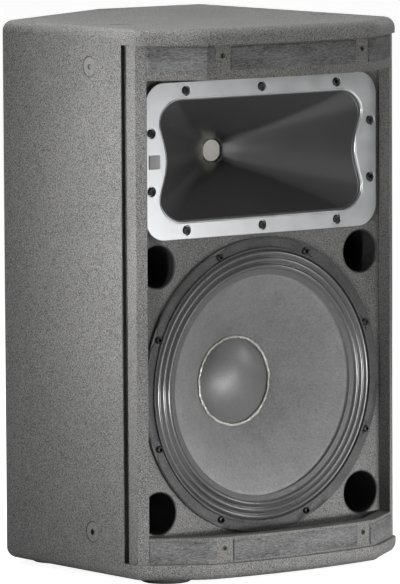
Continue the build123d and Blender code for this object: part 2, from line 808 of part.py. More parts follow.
def flare(extra, first):
    """Sections of the flare from a fraction of its depth to the throat, extra larger all round."""
    sections = []
    for index in range(horn_sections):
        share = first + (1 - first) * index / (horn_sections - 1)
        width = throat_half_width + (mouth_half_width - throat_half_width) * (1 - share) ** 1.15 + extra
        rise = throat_half_rise + (mouth_half_rise - throat_half_rise) * (1 - share) ** 1.3 + extra
        corner = throat_corner + (mouth_corner - throat_corner) * (1 - share) + extra / 2
        with BuildSketch(facing_front(0, horn_front + horn_depth * share, horn_z)) as section:
            RectangleRounded(2 * width, 2 * rise, corner)
        sections.append(section.sketch)
    return sections


flange_share = horn_flange / horn_depth
with BuildPart() as flare_cavity:
    loft(flare(0.0, 0.0))
with BuildPart() as horn_waveguide:
    loft(flare(horn_wall, flange_share))
    with BuildSketch(facing_front(0, baffle_face, horn_z)):
        RectangleRounded(horn_width, horn_rise, horn_corner)
    extrude(amount=horn_flange)
    fillet(horn_waveguide.faces().sort_by(Axis.Y)[0].edges(), 1.5)
    with Locations(Location(facing_front(0, throat_y - 4, horn_z))):
        Cylinder(horn_boss_radius, horn_boss_length + 4, align=(Align.CENTER, Align.CENTER, Align.MAX))
    add(flare_cavity.part, mode=Mode.SUBTRACT)
    with Locations(Location(facing_front(0, throat_y - 1, horn_z))):
        Cylinder(throat_radius, horn_boss_length + 2, align=(Align.CENTER, Align.CENTER, Align.MAX),
                 mode=Mode.SUBTRACT)
    with BuildSketch(facing_front(0, horn_front, horn_z)):
        with Locations(*horn_screw_places):
            Circle(horn_screw_seat_radius)
    extrude(amount=-3.2, mode=Mode.SUBTRACT)
    with BuildSketch(facing_front(0, horn_front, horn_z)):
        with Locations(*horn_screw_places):
            Circle(horn_screw_radius + 0.1)
    extrude(amount=-horn_flange, mode=Mode.SUBTRACT)
    driver_bolt_places = [(38.0, 0), (-38.0, 0)]
    with BuildSketch(facing_front(0, throat_y - 4, horn_z)):
        with Locations(*driver_bolt_places):
            Circle(3.1)
    extrude(amount=-horn_boss_length - 4, mode=Mode.SUBTRACT)
keep(horn_waveguide, "horn_waveguide")
horn_screw_planes = [facing_front(x, horn_front + 3.2, horn_z + z) for x, z in horn_screw_places]
keep(screws(horn_screw_planes, horn_screw_radius, 18.0, 5.2, 2.6, 2.0), "horn_screws")
badge_side = 18.0
with BuildPart() as blank_badge:
    with Locations((-(mouth_half_width + horn_width / 2) / 2, horn_front - 0.4, horn_z)):
        Box(badge_side, 0.8, badge_side)
    fillet(blank_badge.edges().filter_by(Axis.Y), 1.2)
keep(blank_badge, "blank_badge")

# ---- Compression driver, bolted behind the horn ----
driver_front = throat_y + horn_boss_length
yoke_end = driver_front + driver_plate
driver_magnet_end = yoke_end + driver_magnet_thickness
driver_plate_end = driver_magnet_end + driver_plate
pole_end = driver_plate_end - 1.0
keep(ring(horn_plane, 0, throat_radius, throat_y, throat_y + 0.6), "throat_screen")
keep(turned(horn_plane, (
    (throat_radius, driver_front),
    (driver_radius, driver_front),
    (driver_radius, yoke_end),
    (dome_radius - 1.2, yoke_end),
    (dome_radius - 1.2, pole_end - 6),
    (throat_radius + 5, pole_end - 6),
    (throat_radius, yoke_end),
)), "driver_yoke")
keep(ring(horn_plane, dome_radius + 8, driver_magnet_radius, yoke_end, driver_magnet_end), "driver_magnet")
keep(ring(horn_plane, dome_radius + 1.4, driver_radius, driver_magnet_end, driver_plate_end),
     "driver_top_plate")
plug_bore = 3.0
plug_front = yoke_end + 2
plug_crown = driver_plate_end + 5
plug_radius = dome_radius - 1.6
with BuildPart() as phase_plug:
    with BuildSketch(horn_plane):
        with BuildLine():
            Polyline(
                (plug_bore, plug_front),
                (throat_radius - 2.5, plug_front),
                (throat_radius + 2.4, pole_end - 6),
                (plug_radius, pole_end - 5.6),
                (plug_radius, driver_plate_end - 1),
            )
            ThreePointArc((plug_radius, driver_plate_end - 1), (dome_radius / 2, driver_plate_end + 3.6),
                          (plug_bore, plug_crown))
            Line((plug_bore, plug_crown), (plug_bore, plug_front))
        make_face()
    revolve(axis=Axis(horn_plane.origin, horn_plane.y_dir))
keep(phase_plug, "driver_phase_plug")

film = 0.4
dome_rim_y = driver_plate_end + 2.2
keep(dome_shell(horn_plane, dome_radius, dome_rim_y, 6.4, film), "driver_diaphragm")
keep(ring(horn_plane, dome_radius - 0.4, dome_radius + 0.4, driver_plate_end - 5, dome_rim_y - 0.02),
     "driver_voice_coil")
keep(rolled_ring(horn_plane, dome_radius + 0.6, dome_radius + 6, dome_rim_y + 0.4, 1, 1.0, 0.3),
     "driver_suspension")
keep(ring(horn_plane, dome_radius + 6.1, driver_radius - 4, driver_plate_end, dome_rim_y + 0.7),
     "driver_clamp_ring")
cover_end = dome_rim_y + 22
keep(turned(horn_plane, (
    (driver_radius - 3.6, driver_plate_end),
    (driver_radius, driver_plate_end),
    (driver_radius, cover_end - 8),
    (driver_radius - 8, cover_end),
    (0, cover_end),
    (0, cover_end - 3),
    (driver_radius - 10, cover_end - 3),
    (driver_radius - 3.6, cover_end - 10),
)), "driver_rear_cover")
driver_bolt_planes = [
    Plane((x, throat_y - 4, horn_z + z), x_dir=(1, 0, 0), z_dir=(0, -1, 0)) for x, z in driver_bolt_places
]
keep(screws(driver_bolt_planes, 3.0, horn_boss_length + 3.8, 5.0, 4.0, 2.5), "driver_bolts")

# ---- Rear: input plate with two twist-lock sockets ----
socket_rise = 26.0
with BuildPart() as input_plate:
    with BuildSketch(plate_plane.offset(-plate_thickness)):
        RectangleRounded(plate_width, plate_rise, 4)
        with Locations((0, socket_rise), (0, -socket_rise)):
            Circle(socket_radius + fit_gap, mode=Mode.SUBTRACT)
        with Locations(*plate_screw_places):
            Circle(1.8, mode=Mode.SUBTRACT)
    extrude(amount=plate_thickness)
keep(input_plate, "input_plate")
socket_places = ((0, socket_rise), (0, -socket_rise))
with BuildPart() as twist_lock_sockets:
    with BuildSketch(plate_plane):
        with Locations(*socket_places):
            RectangleRounded(28, 33, 4)
    extrude(amount=socket_flange)
    with BuildSketch(plate_plane):
        with Locations(*socket_places):
            Circle(socket_radius)
    extrude(amount=-26)
    with BuildSketch(plate_plane.offset(socket_flange)):
        with Locations(*socket_places):
            Circle(socket_radius - 1.5)
        with Locations(*socket_places):
            Circle(socket_core_radius, mode=Mode.SUBTRACT)
    extrude(amount=-20, mode=Mode.SUBTRACT)
keep(twist_lock_sockets, "twist_lock_sockets")
plate_screw_planes = [Plane(plate_plane.from_local_coords(Vector(x, y, 0)), x_dir=(-1, 0, 0), z_dir=(0, 1, 0))
                      for x, y in plate_screw_places]
keep(screws(plate_screw_planes, 1.6, 14.0, 3.2, 1.4, 1.1), "input_plate_screws")

# ---- Side handle ----
with BuildPart() as handle_cup:
    with BuildSketch(handle_plane.offset(-handle_sheet)):
        RectangleRounded(handle_width, handle_rise, handle_flange_corner)
        with Locations(*handle_screw_places):
            Circle(2.2, mode=Mode.SUBTRACT)
    extrude(amount=handle_sheet)
    with BuildSketch(handle_plane):
        RectangleRounded(handle_pocket_width + 2 * handle_sheet, handle_pocket_rise + 2 * handle_sheet,
                         handle_pocket_corner + handle_sheet)
    extrude(amount=-handle_pocket_depth - handle_sheet)
    with BuildSketch(handle_plane):
        RectangleRounded(handle_pocket_width, handle_pocket_rise, handle_pocket_corner)
    extrude(amount=-handle_pocket_depth, mode=Mode.SUBTRACT)
keep(handle_cup, "handle_cup")
grip_z = handle_z + handle_pocket_rise / 2 - handle_pocket_corner - grip_radius - fit_gap
with BuildPart() as handle_grip:
    with Locations((half_width - handle_sink - grip_radius - 1, handle_y, grip_z)):
        Cylinder(grip_radius, handle_pocket_width, rotation=(90, 0, 0))
keep(handle_grip, "handle_grip")
handle_screw_planes = [
    Plane(handle_plane.from_local_coords(Vector(x, y, 0)), x_dir=(0, 1, 0), z_dir=(1, 0, 0))
    for x, y in handle_screw_places
]
keep(screws(handle_screw_planes, 1.9, 14.0, 3.8, 1.2, 1.2), "handle_screws")

# ---- Crossover on the right wall ----
board_x = inner_half - 10.0
board_y = 70.0
board_rise = 128.0
board_z = brace_z - board_brace_gap - board_rise / 2
board_thickness = 1.6
board_plane = Plane((board_x, board_y, board_z), x_dir=(0, 1, 0), z_dir=(-1, 0, 0))
board_corners = [(y, z) for y in (-50, 50) for z in (-56, 56)]
with BuildPart() as crossover_board:
    with BuildSketch(board_plane):
        RectangleRounded(116, board_rise, 3)
        with Locations(*board_corners):
            Circle(1.7, mode=Mode.SUBTRACT)
    extrude(amount=-board_thickness)
keep(crossover_board, "crossover_board")
with BuildPart() as board_standoffs:
    with BuildSketch(board_plane.offset(-board_thickness)):
        with Locations(*board_corners):
            RegularPolygon(4.0, 6)
    extrude(amount=-(inner_half - board_x - board_thickness))
keep(board_standoffs, "crossover_standoffs")
with BuildPart() as crossover_inductors:
    for y, z, radius, height in ((-28, 26, 22, 24), (28, -28, 18, 20)):
        with Locations(Location(Plane(board_plane.from_local_coords(Vector(y, z, 0)), z_dir=(-1, 0, 0)))):
            Cylinder(radius, height, align=(Align.CENTER, Align.CENTER, Align.MIN))
            Cylinder(radius * 0.45, height, align=(Align.CENTER, Align.CENTER, Align.MIN), mode=Mode.SUBTRACT)
keep(crossover_inductors, "crossover_inductors")
with BuildPart() as crossover_capacitors:
    for y, z, radius, length in ((26, 40, 9, 34), (26, 18, 7, 30), (-30, -22, 8, 32)):
        place = board_plane.from_local_coords(Vector(y, z, radius))
        with Locations(place):
            Cylinder(radius, length, rotation=(90, 0, 0))
keep(crossover_capacitors, "crossover_capacitors")
with BuildPart() as crossover_resistors:
    for z in (-44, -56):
        place = board_plane.from_local_coords(Vector(-10, z, 4.5))
        with Locations(place):
            Box(9, 44, 9)
keep(crossover_resistors, "crossover_resistors")

# ---- Internal wiring ----
wire_radius = 2.0
plate_inside = rear - plate_sink - 26.0
wire_routes = (
    (
        (rear_plate_x, plate_inside - 0.2, plate_z + socket_rise),
        (rear_plate_x, plate_inside - 45, plate_z + socket_rise),
        (board_x - 50, board_y + 40, board_z - 70),
        (board_x - 50, board_y + 14, board_z),
        (board_x - 0.2, board_y + 14, board_z),
    ),
    (
        (board_x - 0.2, board_y - 48, board_z - 44),
        (board_x - 42, board_y - 48, board_z - 44),
        (board_x - 84, board_y - 60, board_z - 24),
        (5, ring_back + 74, woofer_z + terminal_r + 9),
        (5, ring_back + 16.2, woofer_z + terminal_r + 9),
    ),
    (
        (board_x - 0.2, board_y + 35, board_z + 55),
        (board_x - 55, board_y + 35, board_z + 55),
        (board_x - 70, board_y - 15, horn_z - 60),
        (0, cover_end + 60, horn_z),
        (0, cover_end + 0.2, horn_z),
    ),
)
with BuildPart() as internal_wires:
    for points in wire_routes:
        with BuildLine() as route:
            FilletPolyline(*points, radius=16.0)
        with BuildSketch(Plane(route.line @ 0, z_dir=route.line % 0)):
            Circle(wire_radius)
        sweep(path=route.line)
keep(internal_wires, "internal_wires")

# ---- Damping ----
lining = 14.0
lining_front = baffle_face + port_length + 6
lining_width = inner_left_corner - 6 - lining_front
lining_middle = lining_front + lining_width / 2
with BuildPart() as damping_lining:
    for bottom, top in ((floor_cap_top + 66, brace_z - 6), (brace_z + brace_thickness + 6, walls_top - 64)):
        with Locations((-inner_half + lining / 2, lining_middle, (bottom + top) / 2)):
            Box(lining, lining_width, top - bottom)
    fillet(damping_lining.edges().filter_by(Axis.X), 5)
keep(damping_lining, "damping_lining")
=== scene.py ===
"""The looks of a two-way loudspeaker cabinet for live sound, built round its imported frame.

Metres, +Z up, front towards -Y. Left and right are as seen by someone facing the front.
"""

import json
from math import asin, cos, hypot, pi, radians, sin

import bmesh
import bpy
import numpy as np
from mathutils import Matrix, Vector, noise


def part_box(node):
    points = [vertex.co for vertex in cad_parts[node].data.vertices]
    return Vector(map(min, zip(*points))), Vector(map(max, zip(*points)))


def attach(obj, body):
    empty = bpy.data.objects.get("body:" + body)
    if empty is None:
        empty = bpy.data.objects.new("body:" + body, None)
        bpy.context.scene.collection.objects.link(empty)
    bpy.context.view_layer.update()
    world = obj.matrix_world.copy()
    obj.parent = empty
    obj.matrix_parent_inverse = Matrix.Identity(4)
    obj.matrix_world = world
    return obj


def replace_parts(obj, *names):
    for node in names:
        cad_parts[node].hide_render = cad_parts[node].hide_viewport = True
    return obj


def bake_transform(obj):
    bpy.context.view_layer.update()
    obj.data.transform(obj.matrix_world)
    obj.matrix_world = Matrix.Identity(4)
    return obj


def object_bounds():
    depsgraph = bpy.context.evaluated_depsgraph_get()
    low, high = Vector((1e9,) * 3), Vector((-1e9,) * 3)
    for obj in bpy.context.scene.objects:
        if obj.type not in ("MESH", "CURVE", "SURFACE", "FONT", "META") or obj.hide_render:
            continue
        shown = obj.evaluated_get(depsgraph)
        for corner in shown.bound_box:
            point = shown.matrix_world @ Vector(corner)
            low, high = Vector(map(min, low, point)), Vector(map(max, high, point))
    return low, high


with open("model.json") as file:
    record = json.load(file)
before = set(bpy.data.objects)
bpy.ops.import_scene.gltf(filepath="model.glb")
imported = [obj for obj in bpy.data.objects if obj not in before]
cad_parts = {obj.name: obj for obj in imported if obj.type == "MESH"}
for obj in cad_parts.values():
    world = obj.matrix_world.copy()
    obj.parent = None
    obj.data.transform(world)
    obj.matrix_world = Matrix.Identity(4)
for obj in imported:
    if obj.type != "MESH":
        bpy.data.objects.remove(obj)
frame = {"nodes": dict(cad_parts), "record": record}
cad_low, cad_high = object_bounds()
MM = 0.001
SHARP_ANGLE = radians(38)
WELD = 1e-6
WHITE = (1, 1, 1, 1)

# ---- Camera ----
CAMERA_AZIMUTH = radians(37.65)
CAMERA_ELEVATION = radians(5.85)
CAMERA_ROLL = radians(-0.3)
CAMERA_DISTANCE = 7.953
CAMERA_LENS = 382.8
CAMERA_AIM = Vector((-0.1547, -0.2321, 0.3816))


def place_camera():
    """A long lens from the left of the front, a little above the middle."""
    level = cos(CAMERA_ELEVATION)
    back = Vector((-sin(CAMERA_AZIMUTH) * level, -cos(CAMERA_AZIMUTH) * level, sin(CAMERA_ELEVATION)))
    data = bpy.data.cameras.new("camera")
    data.lens = CAMERA_LENS
    data.clip_end = 60.0
    camera = bpy.data.objects.new("camera", data)
    turn = (-back).to_track_quat("-Z", "Y").to_matrix().to_4x4() @ Matrix.Rotation(CAMERA_ROLL, 4, "Z")
    camera.matrix_world = Matrix.Translation(CAMERA_AIM + back * CAMERA_DISTANCE) @ turn
    bpy.context.scene.collection.objects.link(camera)
    bpy.context.scene.camera = camera


place_camera()


# ---- Floor and studio light ----
def area_light(name, place, aim, size, power, size_y=None, spread=180):
    """A soft box at a place, turned towards a point.

    A narrow spread, in degrees, keeps its light to a beam.
    """
    data = bpy.data.lights.new(name, "AREA")
    data.energy = power
    data.shape = "RECTANGLE"
    data.size = size
    data.size_y = size_y or size
    data.spread = radians(spread)
    light = bpy.data.objects.new(name, data)
    light.location = place
    light.rotation_euler = (Vector(aim) - Vector(place)).to_track_quat("-Z", "Y").to_euler()
    bpy.context.scene.collection.objects.link(light)


def studio():
    """A surround that is white to the camera and dim to the part, and soft boxes all round."""
    world = bpy.data.worlds.new("studio")
    world.use_nodes = True
    tree = world.node_tree
    tree.nodes.clear()
    seen = tree.nodes.new("ShaderNodeBackground")
    seen.inputs["Color"].default_value = WHITE
    fill = tree.nodes.new("ShaderNodeBackground")
    fill.inputs["Color"].default_value = WHITE
    fill.inputs["Strength"].default_value = 0.12
    ray = tree.nodes.new("ShaderNodeLightPath")
    mix = tree.nodes.new("ShaderNodeMixShader")
    out = tree.nodes.new("ShaderNodeOutputWorld")
    tree.links.new(ray.outputs["Is Camera Ray"], mix.inputs[0])
    tree.links.new(fill.outputs[0], mix.inputs[1])
    tree.links.new(seen.outputs[0], mix.inputs[2])
    tree.links.new(mix.outputs[0], out.inputs[0])
    bpy.context.scene.world = world
    bpy.context.scene.view_settings.view_transform = "Standard"
    middle = (0.0, -0.1, 0.4)
    area_light("overhead_box", (-0.2, 0.1, 2.4), middle, 1.6, 50)
    area_light("left_key", (-1.6, 0.3, 0.8), (-0.2, -0.42, 0.55), 0.5, 4.4, 1.0, 36)
    area_light("right_front_box", (0.50, -1.42, 0.27), (0.0, -0.16, 0.45), 0.42, 4.2, 0.4)
    area_light("right_box", (2.2, -1.6, 1.3), middle, 0.9, 15)
    area_light("low_front_box", (0.1, -1.2, 0.08), (0.0, -0.2, 0.03), 1.0, 1.4, 0.12, 40)
    area_light("left_glint", (-1.9, -1.15, 0.5), (0.05, -0.1, 0.54), 0.16, 0.5, 0.3, 20)
    area_light("rear_box", (0.4, 2.6, 1.6), middle, 1.4, 16)
    area_light("right_side_box", (2.4, 1.2, 1.1), middle, 1.0, 10)


studio()


# ---- Mesh making ----
def piece_from(name, bm, body, finish, smooth=True):
    """Turns a bmesh into a piece that rides on a body and takes its finish from a slot."""
    bmesh.ops.recalc_face_normals(bm, faces=bm.faces)
    data = bpy.data.meshes.new(name)
    bm.to_mesh(data)
    bm.free()
    return piece_of_mesh(name, data, body, finish, smooth)


def piece_of_mesh(name, data, body, finish, smooth=True):
    """Links a mesh as a piece. Its edges over the sharp angle stay sharp."""
    piece = bpy.data.objects.new(name, data)
    bpy.context.scene.collection.objects.link(piece)
    for polygon in data.polygons:
        polygon.use_smooth = smooth
    if smooth:
        data.set_sharp_from_angle(angle=SHARP_ANGLE)
    data.materials.clear()
    data.materials.append(finish)
    if body:
        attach(piece, body)
    return piece


def skin(bm, loops, closed=False, cap_first=False, cap_last=False):
    """Joins loops of points into a surface. Loops of one point are poles."""
    rings = [[bm.verts.new(point) for point in loop] for loop in loops]
    pairs = list(zip(rings, rings[1:]))
    if closed:
        pairs.append((rings[-1], rings[0]))
    for first, second in pairs:
        count = max(len(first), len(second))
        for index in range(count):
            after = index + 1
            corners = list(dict.fromkeys([
                first[index % len(first)],
                first[after % len(first)],
                second[after % len(second)],
                second[index % len(second)],
            ]))
            if len(corners) > 2:
                bm.faces.new(corners)
    if cap_first:
        bm.faces.new(rings[0])
    if cap_last:
        bm.faces.new(rings[-1])


def angles(steps):
    """Even steps round a full turn."""
    return [2 * pi * index / steps for index in range(steps)]


def circle_loop(centre, radius, depth, steps):
    """Points round a driver's axis, at a depth along Y."""
    if radius < WELD:
        return [Vector((centre.x, depth, centre.z))]
    return [Vector((centre.x + radius * cos(angle), depth, centre.z + radius * sin(angle)))
            for angle in angles(steps)]


def turned(name, centre, section, body, finish, steps=128, closed=True):
    """A piece turned about a driver's axis from its section, given as radius and depth."""
    bm = bmesh.new()
    skin(bm, [circle_loop(centre, radius, depth, steps) for radius, depth in section], closed=closed)
    return piece_from(name, bm, body, finish)


# ---- Places, all from the frame ----
def middle_of(node):
    """The middle of a node's box."""
    low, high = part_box(node)
    return (low + high) / 2


woofer_axis = middle_of("woofer_cone")
horn_axis = middle_of("horn_waveguide")
baffle_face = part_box("front_baffle")[0].y
horn_low, horn_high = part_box("horn_waveguide")
woofer_z, horn_z = woofer_axis.z, horn_axis.z


# ---- Node helpers ----
def add(tree, kind, values=None, **settings):
    """A node with its settings and its inputs, which are sockets or plain values."""
    made = tree.nodes.new(kind)
    for key, value in settings.items():
        setattr(made, key, value)
    for key, value in (values or {}).items():
        socket = made.inputs[key]
        if isinstance(value, bpy.types.NodeSocket):
            tree.links.new(value, socket)
        else:
            socket.default_value = value
    return made


def maths(tree, operation, first, second=0.0, clamp=False):
    """The result of one sum on two values."""
    return add(tree, "ShaderNodeMath", {0: first, 1: second}, operation=operation, use_clamp=clamp).outputs[0]


def mixed(tree, share, first, second):
    """Two colours mixed by a share."""
    made = add(tree, "ShaderNodeMix", data_type="RGBA")
    for index, value in ((0, share), (6, first), (7, second)):
        if isinstance(value, bpy.types.NodeSocket):
            tree.links.new(value, made.inputs[index])
        else:
            made.inputs[index].default_value = value
    return made.outputs[2]


def ramp(tree, value, low, high):
    """Spreads low to high over 0 to 1."""
    made = add(tree, "ShaderNodeMapRange", {"Value": value, "From Min": low, "From Max": high}, clamp=True)
    return made.outputs[0]


def grey(level, warmth=0.0):
    """An almost neutral colour; warmth tips it to yellow."""
    return (level * (1 + warmth), level, level * (1 - 2 * warmth), 1.0)


def new_group(name, inputs, outputs):
    """A shader node group with named sockets. inputs and outputs are (name, kind, default)."""
    group = bpy.data.node_groups.new(name, "ShaderNodeTree")
    kinds = {"colour": "NodeSocketColor", "value": "NodeSocketFloat", "vector": "NodeSocketVector"}
    for direction, sockets in (("INPUT", inputs), ("OUTPUT", outputs)):
        for label, kind, *default in sockets:
            socket = group.interface.new_socket(label, in_out=direction, socket_type=kinds[kind])
            if default:
                socket.default_value = default[0]
    return group, group.nodes.new("NodeGroupInput").outputs, group.nodes.new("NodeGroupOutput").inputs


def own_place(tree):
    """The piece's own coordinates, in metres, which are the frame's."""
    return tree.nodes.new("ShaderNodeTexCoord").outputs["Object"]


# ---- Shared effects ----
def make_pebble():
    """Sprayed coating: small rounded grains with darker gaps, and slow cloudy changes."""
    tree, given, out = new_group(
        "pebble",
        [("Dark", "colour", grey(0.06)), ("Light", "colour", grey(0.16)), ("Grain", "value", 520.0),
         ("Clouds", "value", 0.2)],
        [("Color", "colour"), ("Roughness", "value"), ("Height", "value")],
    )
    place = own_place(tree)
    cells = add(tree, "ShaderNodeTexVoronoi", {"Vector": place, "Scale": given["Grain"], "Smoothness": 0.6},
                feature="SMOOTH_F1").outputs["Distance"]
    fine = maths(tree, "MULTIPLY", given["Grain"], 1.1)
    dust = add(tree, "ShaderNodeTexNoise", {"Vector": place, "Scale": fine, "Detail": 2.0}).outputs[0]
    clouds = add(tree, "ShaderNodeTexNoise", {"Vector": place, "Scale": 9.0, "Detail": 3.0}).outputs[0]
    grains = ramp(tree, cells, 0.75, 0.15)
    height = maths(tree, "ADD", maths(tree, "MULTIPLY", grains, 0.7), maths(tree, "MULTIPLY", dust, 0.5))
    specks = maths(tree, "ADD", maths(tree, "MULTIPLY", grains, 0.3), maths(tree, "MULTIPLY", dust, 0.8))
    cloudy = maths(tree, "MULTIPLY", maths(tree, "SUBTRACT", clouds, 0.5), given["Clouds"])
    share = maths(tree, "ADD", ramp(tree, specks, 0.36, 0.82), cloudy, clamp=True)
    tree.links.new(mixed(tree, share, given["Dark"], given["Light"]), out["Color"])
    tree.links.new(maths(tree, "ADD", 0.45, maths(tree, "MULTIPLY", dust, 0.3)), out["Roughness"])
    tree.links.new(height, out["Height"])
    return tree


def make_edge_wear():
    """Lighter rubbed arrises: a mask where the surface turns within a small radius."""
    tree, given, out = new_group(
        "edge_wear",
        [("Radius", "value", 0.0015), ("Amount", "value", 0.5)],
        [("Mask", "value"), ("Normal", "vector")],
    )
    soft = add(tree, "ShaderNodeBevel", {"Radius": given["Radius"]}, samples=4).outputs[0]
    hard = tree.nodes.new("ShaderNodeNewGeometry").outputs["Normal"]
    same = add(tree, "ShaderNodeVectorMath", {0: soft, 1: hard}, operation="DOT_PRODUCT").outputs["Value"]
    place = own_place(tree)
    rub = add(tree, "ShaderNodeTexNoise", {"Vector": place, "Scale": 60.0, "Detail": 4.0}).outputs[0]
    turn = maths(tree, "MULTIPLY", ramp(tree, same, 0.99, 0.8), ramp(tree, rub, 0.35, 0.7))
    tree.links.new(maths(tree, "MULTIPLY", turn, given["Amount"], clamp=True), out["Mask"])
    tree.links.new(soft, out["Normal"])
    return tree


def make_grain():
    """Fine tooth of moulded plastic, rubber and painted metal, with handling marks in the gloss."""
    tree, given, out = new_group(
        "fine_grain",
        [("Color", "colour", grey(0.03)), ("Grain", "value", 1800.0), ("Roughness", "value", 0.45),
         ("Spread", "value", 0.15), ("Tint", "value", 0.25)],
        [("Color", "colour"), ("Roughness", "value"), ("Height", "value")],
    )
    place = own_place(tree)
    fine = {"Vector": place, "Scale": given["Grain"], "Detail": 2.0}
    tooth = add(tree, "ShaderNodeTexNoise", fine).outputs[0]
    marks = add(tree, "ShaderNodeTexNoise", {"Vector": place, "Scale": 35.0, "Detail": 5.0}).outputs[0]
    lift = maths(tree, "MULTIPLY", maths(tree, "SUBTRACT", marks, 0.5), given["Tint"])
    level = maths(tree, "ADD", 1.0, maths(tree, "MULTIPLY", lift, 2.0))
    shade = add(tree, "ShaderNodeVectorMath", {0: given["Color"], "Scale": level}, operation="SCALE")
    tree.links.new(shade.outputs[0], out["Color"])
    spread = maths(tree, "MULTIPLY", maths(tree, "SUBTRACT", marks, 0.5), given["Spread"])
    rough = maths(tree, "ADD", given["Roughness"], maths(tree, "MULTIPLY", spread, 2.0))
    tree.links.new(rough, out["Roughness"])
    tree.links.new(tooth, out["Height"])
    return tree


def make_polar():
    """Round a driver's axis: a share from the inner to the outer radius, and fibres that run outwards."""
    tree, given, out = new_group(
        "round_axis",
        [("Axis Height", "value", 0.244), ("Inner", "value", 0.038), ("Outer", "value", 0.152),
         ("Fibres", "value", 90.0)],
        [("Share", "value"), ("Fibre", "value"), ("Radius", "value")],
    )
    parts = add(tree, "ShaderNodeSeparateXYZ", {0: own_place(tree)}).outputs
    rise = maths(tree, "SUBTRACT", parts["Z"], given["Axis Height"])
    across = maths(tree, "MULTIPLY", parts["X"], parts["X"])
    radius = maths(tree, "SQRT", maths(tree, "ADD", maths(tree, "MULTIPLY", rise, rise), across))
    share = add(tree, "ShaderNodeMapRange",
                {"Value": radius, "From Min": given["Inner"], "From Max": given["Outer"]}).outputs[0]
    angle = maths(tree, "ARCTAN2", rise, parts["X"])
    unit = add(tree, "ShaderNodeCombineXYZ", {
        0: maths(tree, "MULTIPLY", maths(tree, "COSINE", angle), given["Fibres"]),
        1: maths(tree, "MULTIPLY", maths(tree, "SINE", angle), given["Fibres"]),
        2: maths(tree, "MULTIPLY", radius, 160.0),
    }).outputs[0]
    fibre = add(tree, "ShaderNodeTexNoise", {"Vector": unit, "Scale": 1.0, "Detail": 3.0}).outputs[0]
    tree.links.new(share, out["Share"])
    tree.links.new(fibre, out["Fibre"])
    tree.links.new(radius, out["Radius"])
    return tree


def make_weave():
    """Threads crossing in two directions, in the plane that faces the listener."""
    tree, given, out = new_group(
        "weave",
        [("Threads", "value", 1400.0), ("Slub", "value", 0.3)],
        [("Height", "value"), ("Gap", "value")],
    )
    parts = add(tree, "ShaderNodeSeparateXYZ", {0: own_place(tree)}).outputs
    lumps = {"Vector": own_place(tree), "Scale": 180.0, "Detail": 2.0}
    slub = add(tree, "ShaderNodeTexNoise", lumps).outputs[0]
    pull = maths(tree, "MULTIPLY", given["Slub"], 8.0)
    drift = maths(tree, "MULTIPLY", maths(tree, "SUBTRACT", slub, 0.5), pull)
    waves = []
    for axis in ("X", "Z"):
        turns = maths(tree, "MULTIPLY", parts[axis], maths(tree, "MULTIPLY", given["Threads"], 2 * pi))
        waves.append(maths(tree, "SINE", maths(tree, "ADD", turns, drift)))
    height = ramp(tree, maths(tree, "MULTIPLY", waves[0], waves[1]), -1.0, 1.0)
    tree.links.new(height, out["Height"])
    tree.links.new(ramp(tree, height, 0.35, 0.05), out["Gap"])
    return tree


def make_stripes():
    """Fine lines stacked along one axis, each a little different: plies, strands, turns of wire."""
    tree, given, out = new_group(
        "stripes",
        [("Along", "vector", (0.0, 0.0, 1.0)), ("Pitch", "value", 0.0013), ("Wander", "value", 0.2)],
        [("Wave", "value"), ("Layer", "value")],
    )
    place = own_place(tree)
    along = add(tree, "ShaderNodeVectorMath", {0: place, 1: given["Along"]}, operation="DOT_PRODUCT")
    lines = maths(tree, "DIVIDE", along.outputs["Value"], given["Pitch"])
    wander = add(tree, "ShaderNodeTexNoise", {"Vector": place, "Scale": 45.0, "Detail": 2.0}).outputs[0]
    count = maths(tree, "ADD", lines, maths(tree, "MULTIPLY", wander, given["Wander"]))
    whole = maths(tree, "FLOOR", count)
    layer = add(tree, "ShaderNodeTexWhiteNoise", {"W": whole}, noise_dimensions="1D").outputs[0]
    wave = maths(tree, "SINE", maths(tree, "MULTIPLY", count, 2 * pi))
    tree.links.new(ramp(tree, wave, -1.0, 1.0), out["Wave"])
    tree.links.new(layer, out["Layer"])
    return tree


def make_felt():
    """Pressed fibres and open cells: a tangle in two sizes, with flecks."""
    tree, given, out = new_group(
        "felt",
        [("Size", "value", 700.0), ("Stretch", "vector", (1.0, 1.0, 1.0))],
        [("Tangle", "value"), ("Fleck", "value")],
    )
    stretched = {0: own_place(tree), 1: given["Stretch"]}
    place = add(tree, "ShaderNodeVectorMath", stretched, operation="MULTIPLY").outputs[0]
    fine = {"Vector": place, "Scale": given["Size"], "Detail": 5.0, "Distortion": 1.2}
    tangle = add(tree, "ShaderNodeTexNoise", fine).outputs[0]
    broad = {"Vector": place, "Scale": maths(tree, "MULTIPLY", given["Size"], 0.08), "Detail": 3.0}
    wide = add(tree, "ShaderNodeTexNoise", broad).outputs[0]
    open_cells = {"Vector": place, "Scale": maths(tree, "MULTIPLY", given["Size"], 0.6)}
    flecks = add(tree, "ShaderNodeTexVoronoi", open_cells).outputs["Distance"]
    both = maths(tree, "ADD", maths(tree, "MULTIPLY", tangle, 0.7), maths(tree, "MULTIPLY", wide, 0.3))
    tree.links.new(both, out["Tangle"])
    tree.links.new(ramp(tree, flecks, 0.22, 0.08), out["Fleck"])
    return tree


PEBBLE = make_pebble()
EDGE_WEAR = make_edge_wear()
GRAIN = make_grain()
ROUND_AXIS = make_polar()
WEAVE = make_weave()
STRIPES = make_stripes()
FELT = make_felt()


# ---- Finishes ----
def new_finish(name, **values):
    """A material and its shader; values set the shader's own sockets."""
    made = bpy.data.materials.new(name)
    made.use_nodes = True
    shader = made.node_tree.nodes["Principled BSDF"]
    for label, value in values.items():
        shader.inputs[label.replace("_", " ")].default_value = value
    return made, made.node_tree, shader.inputs


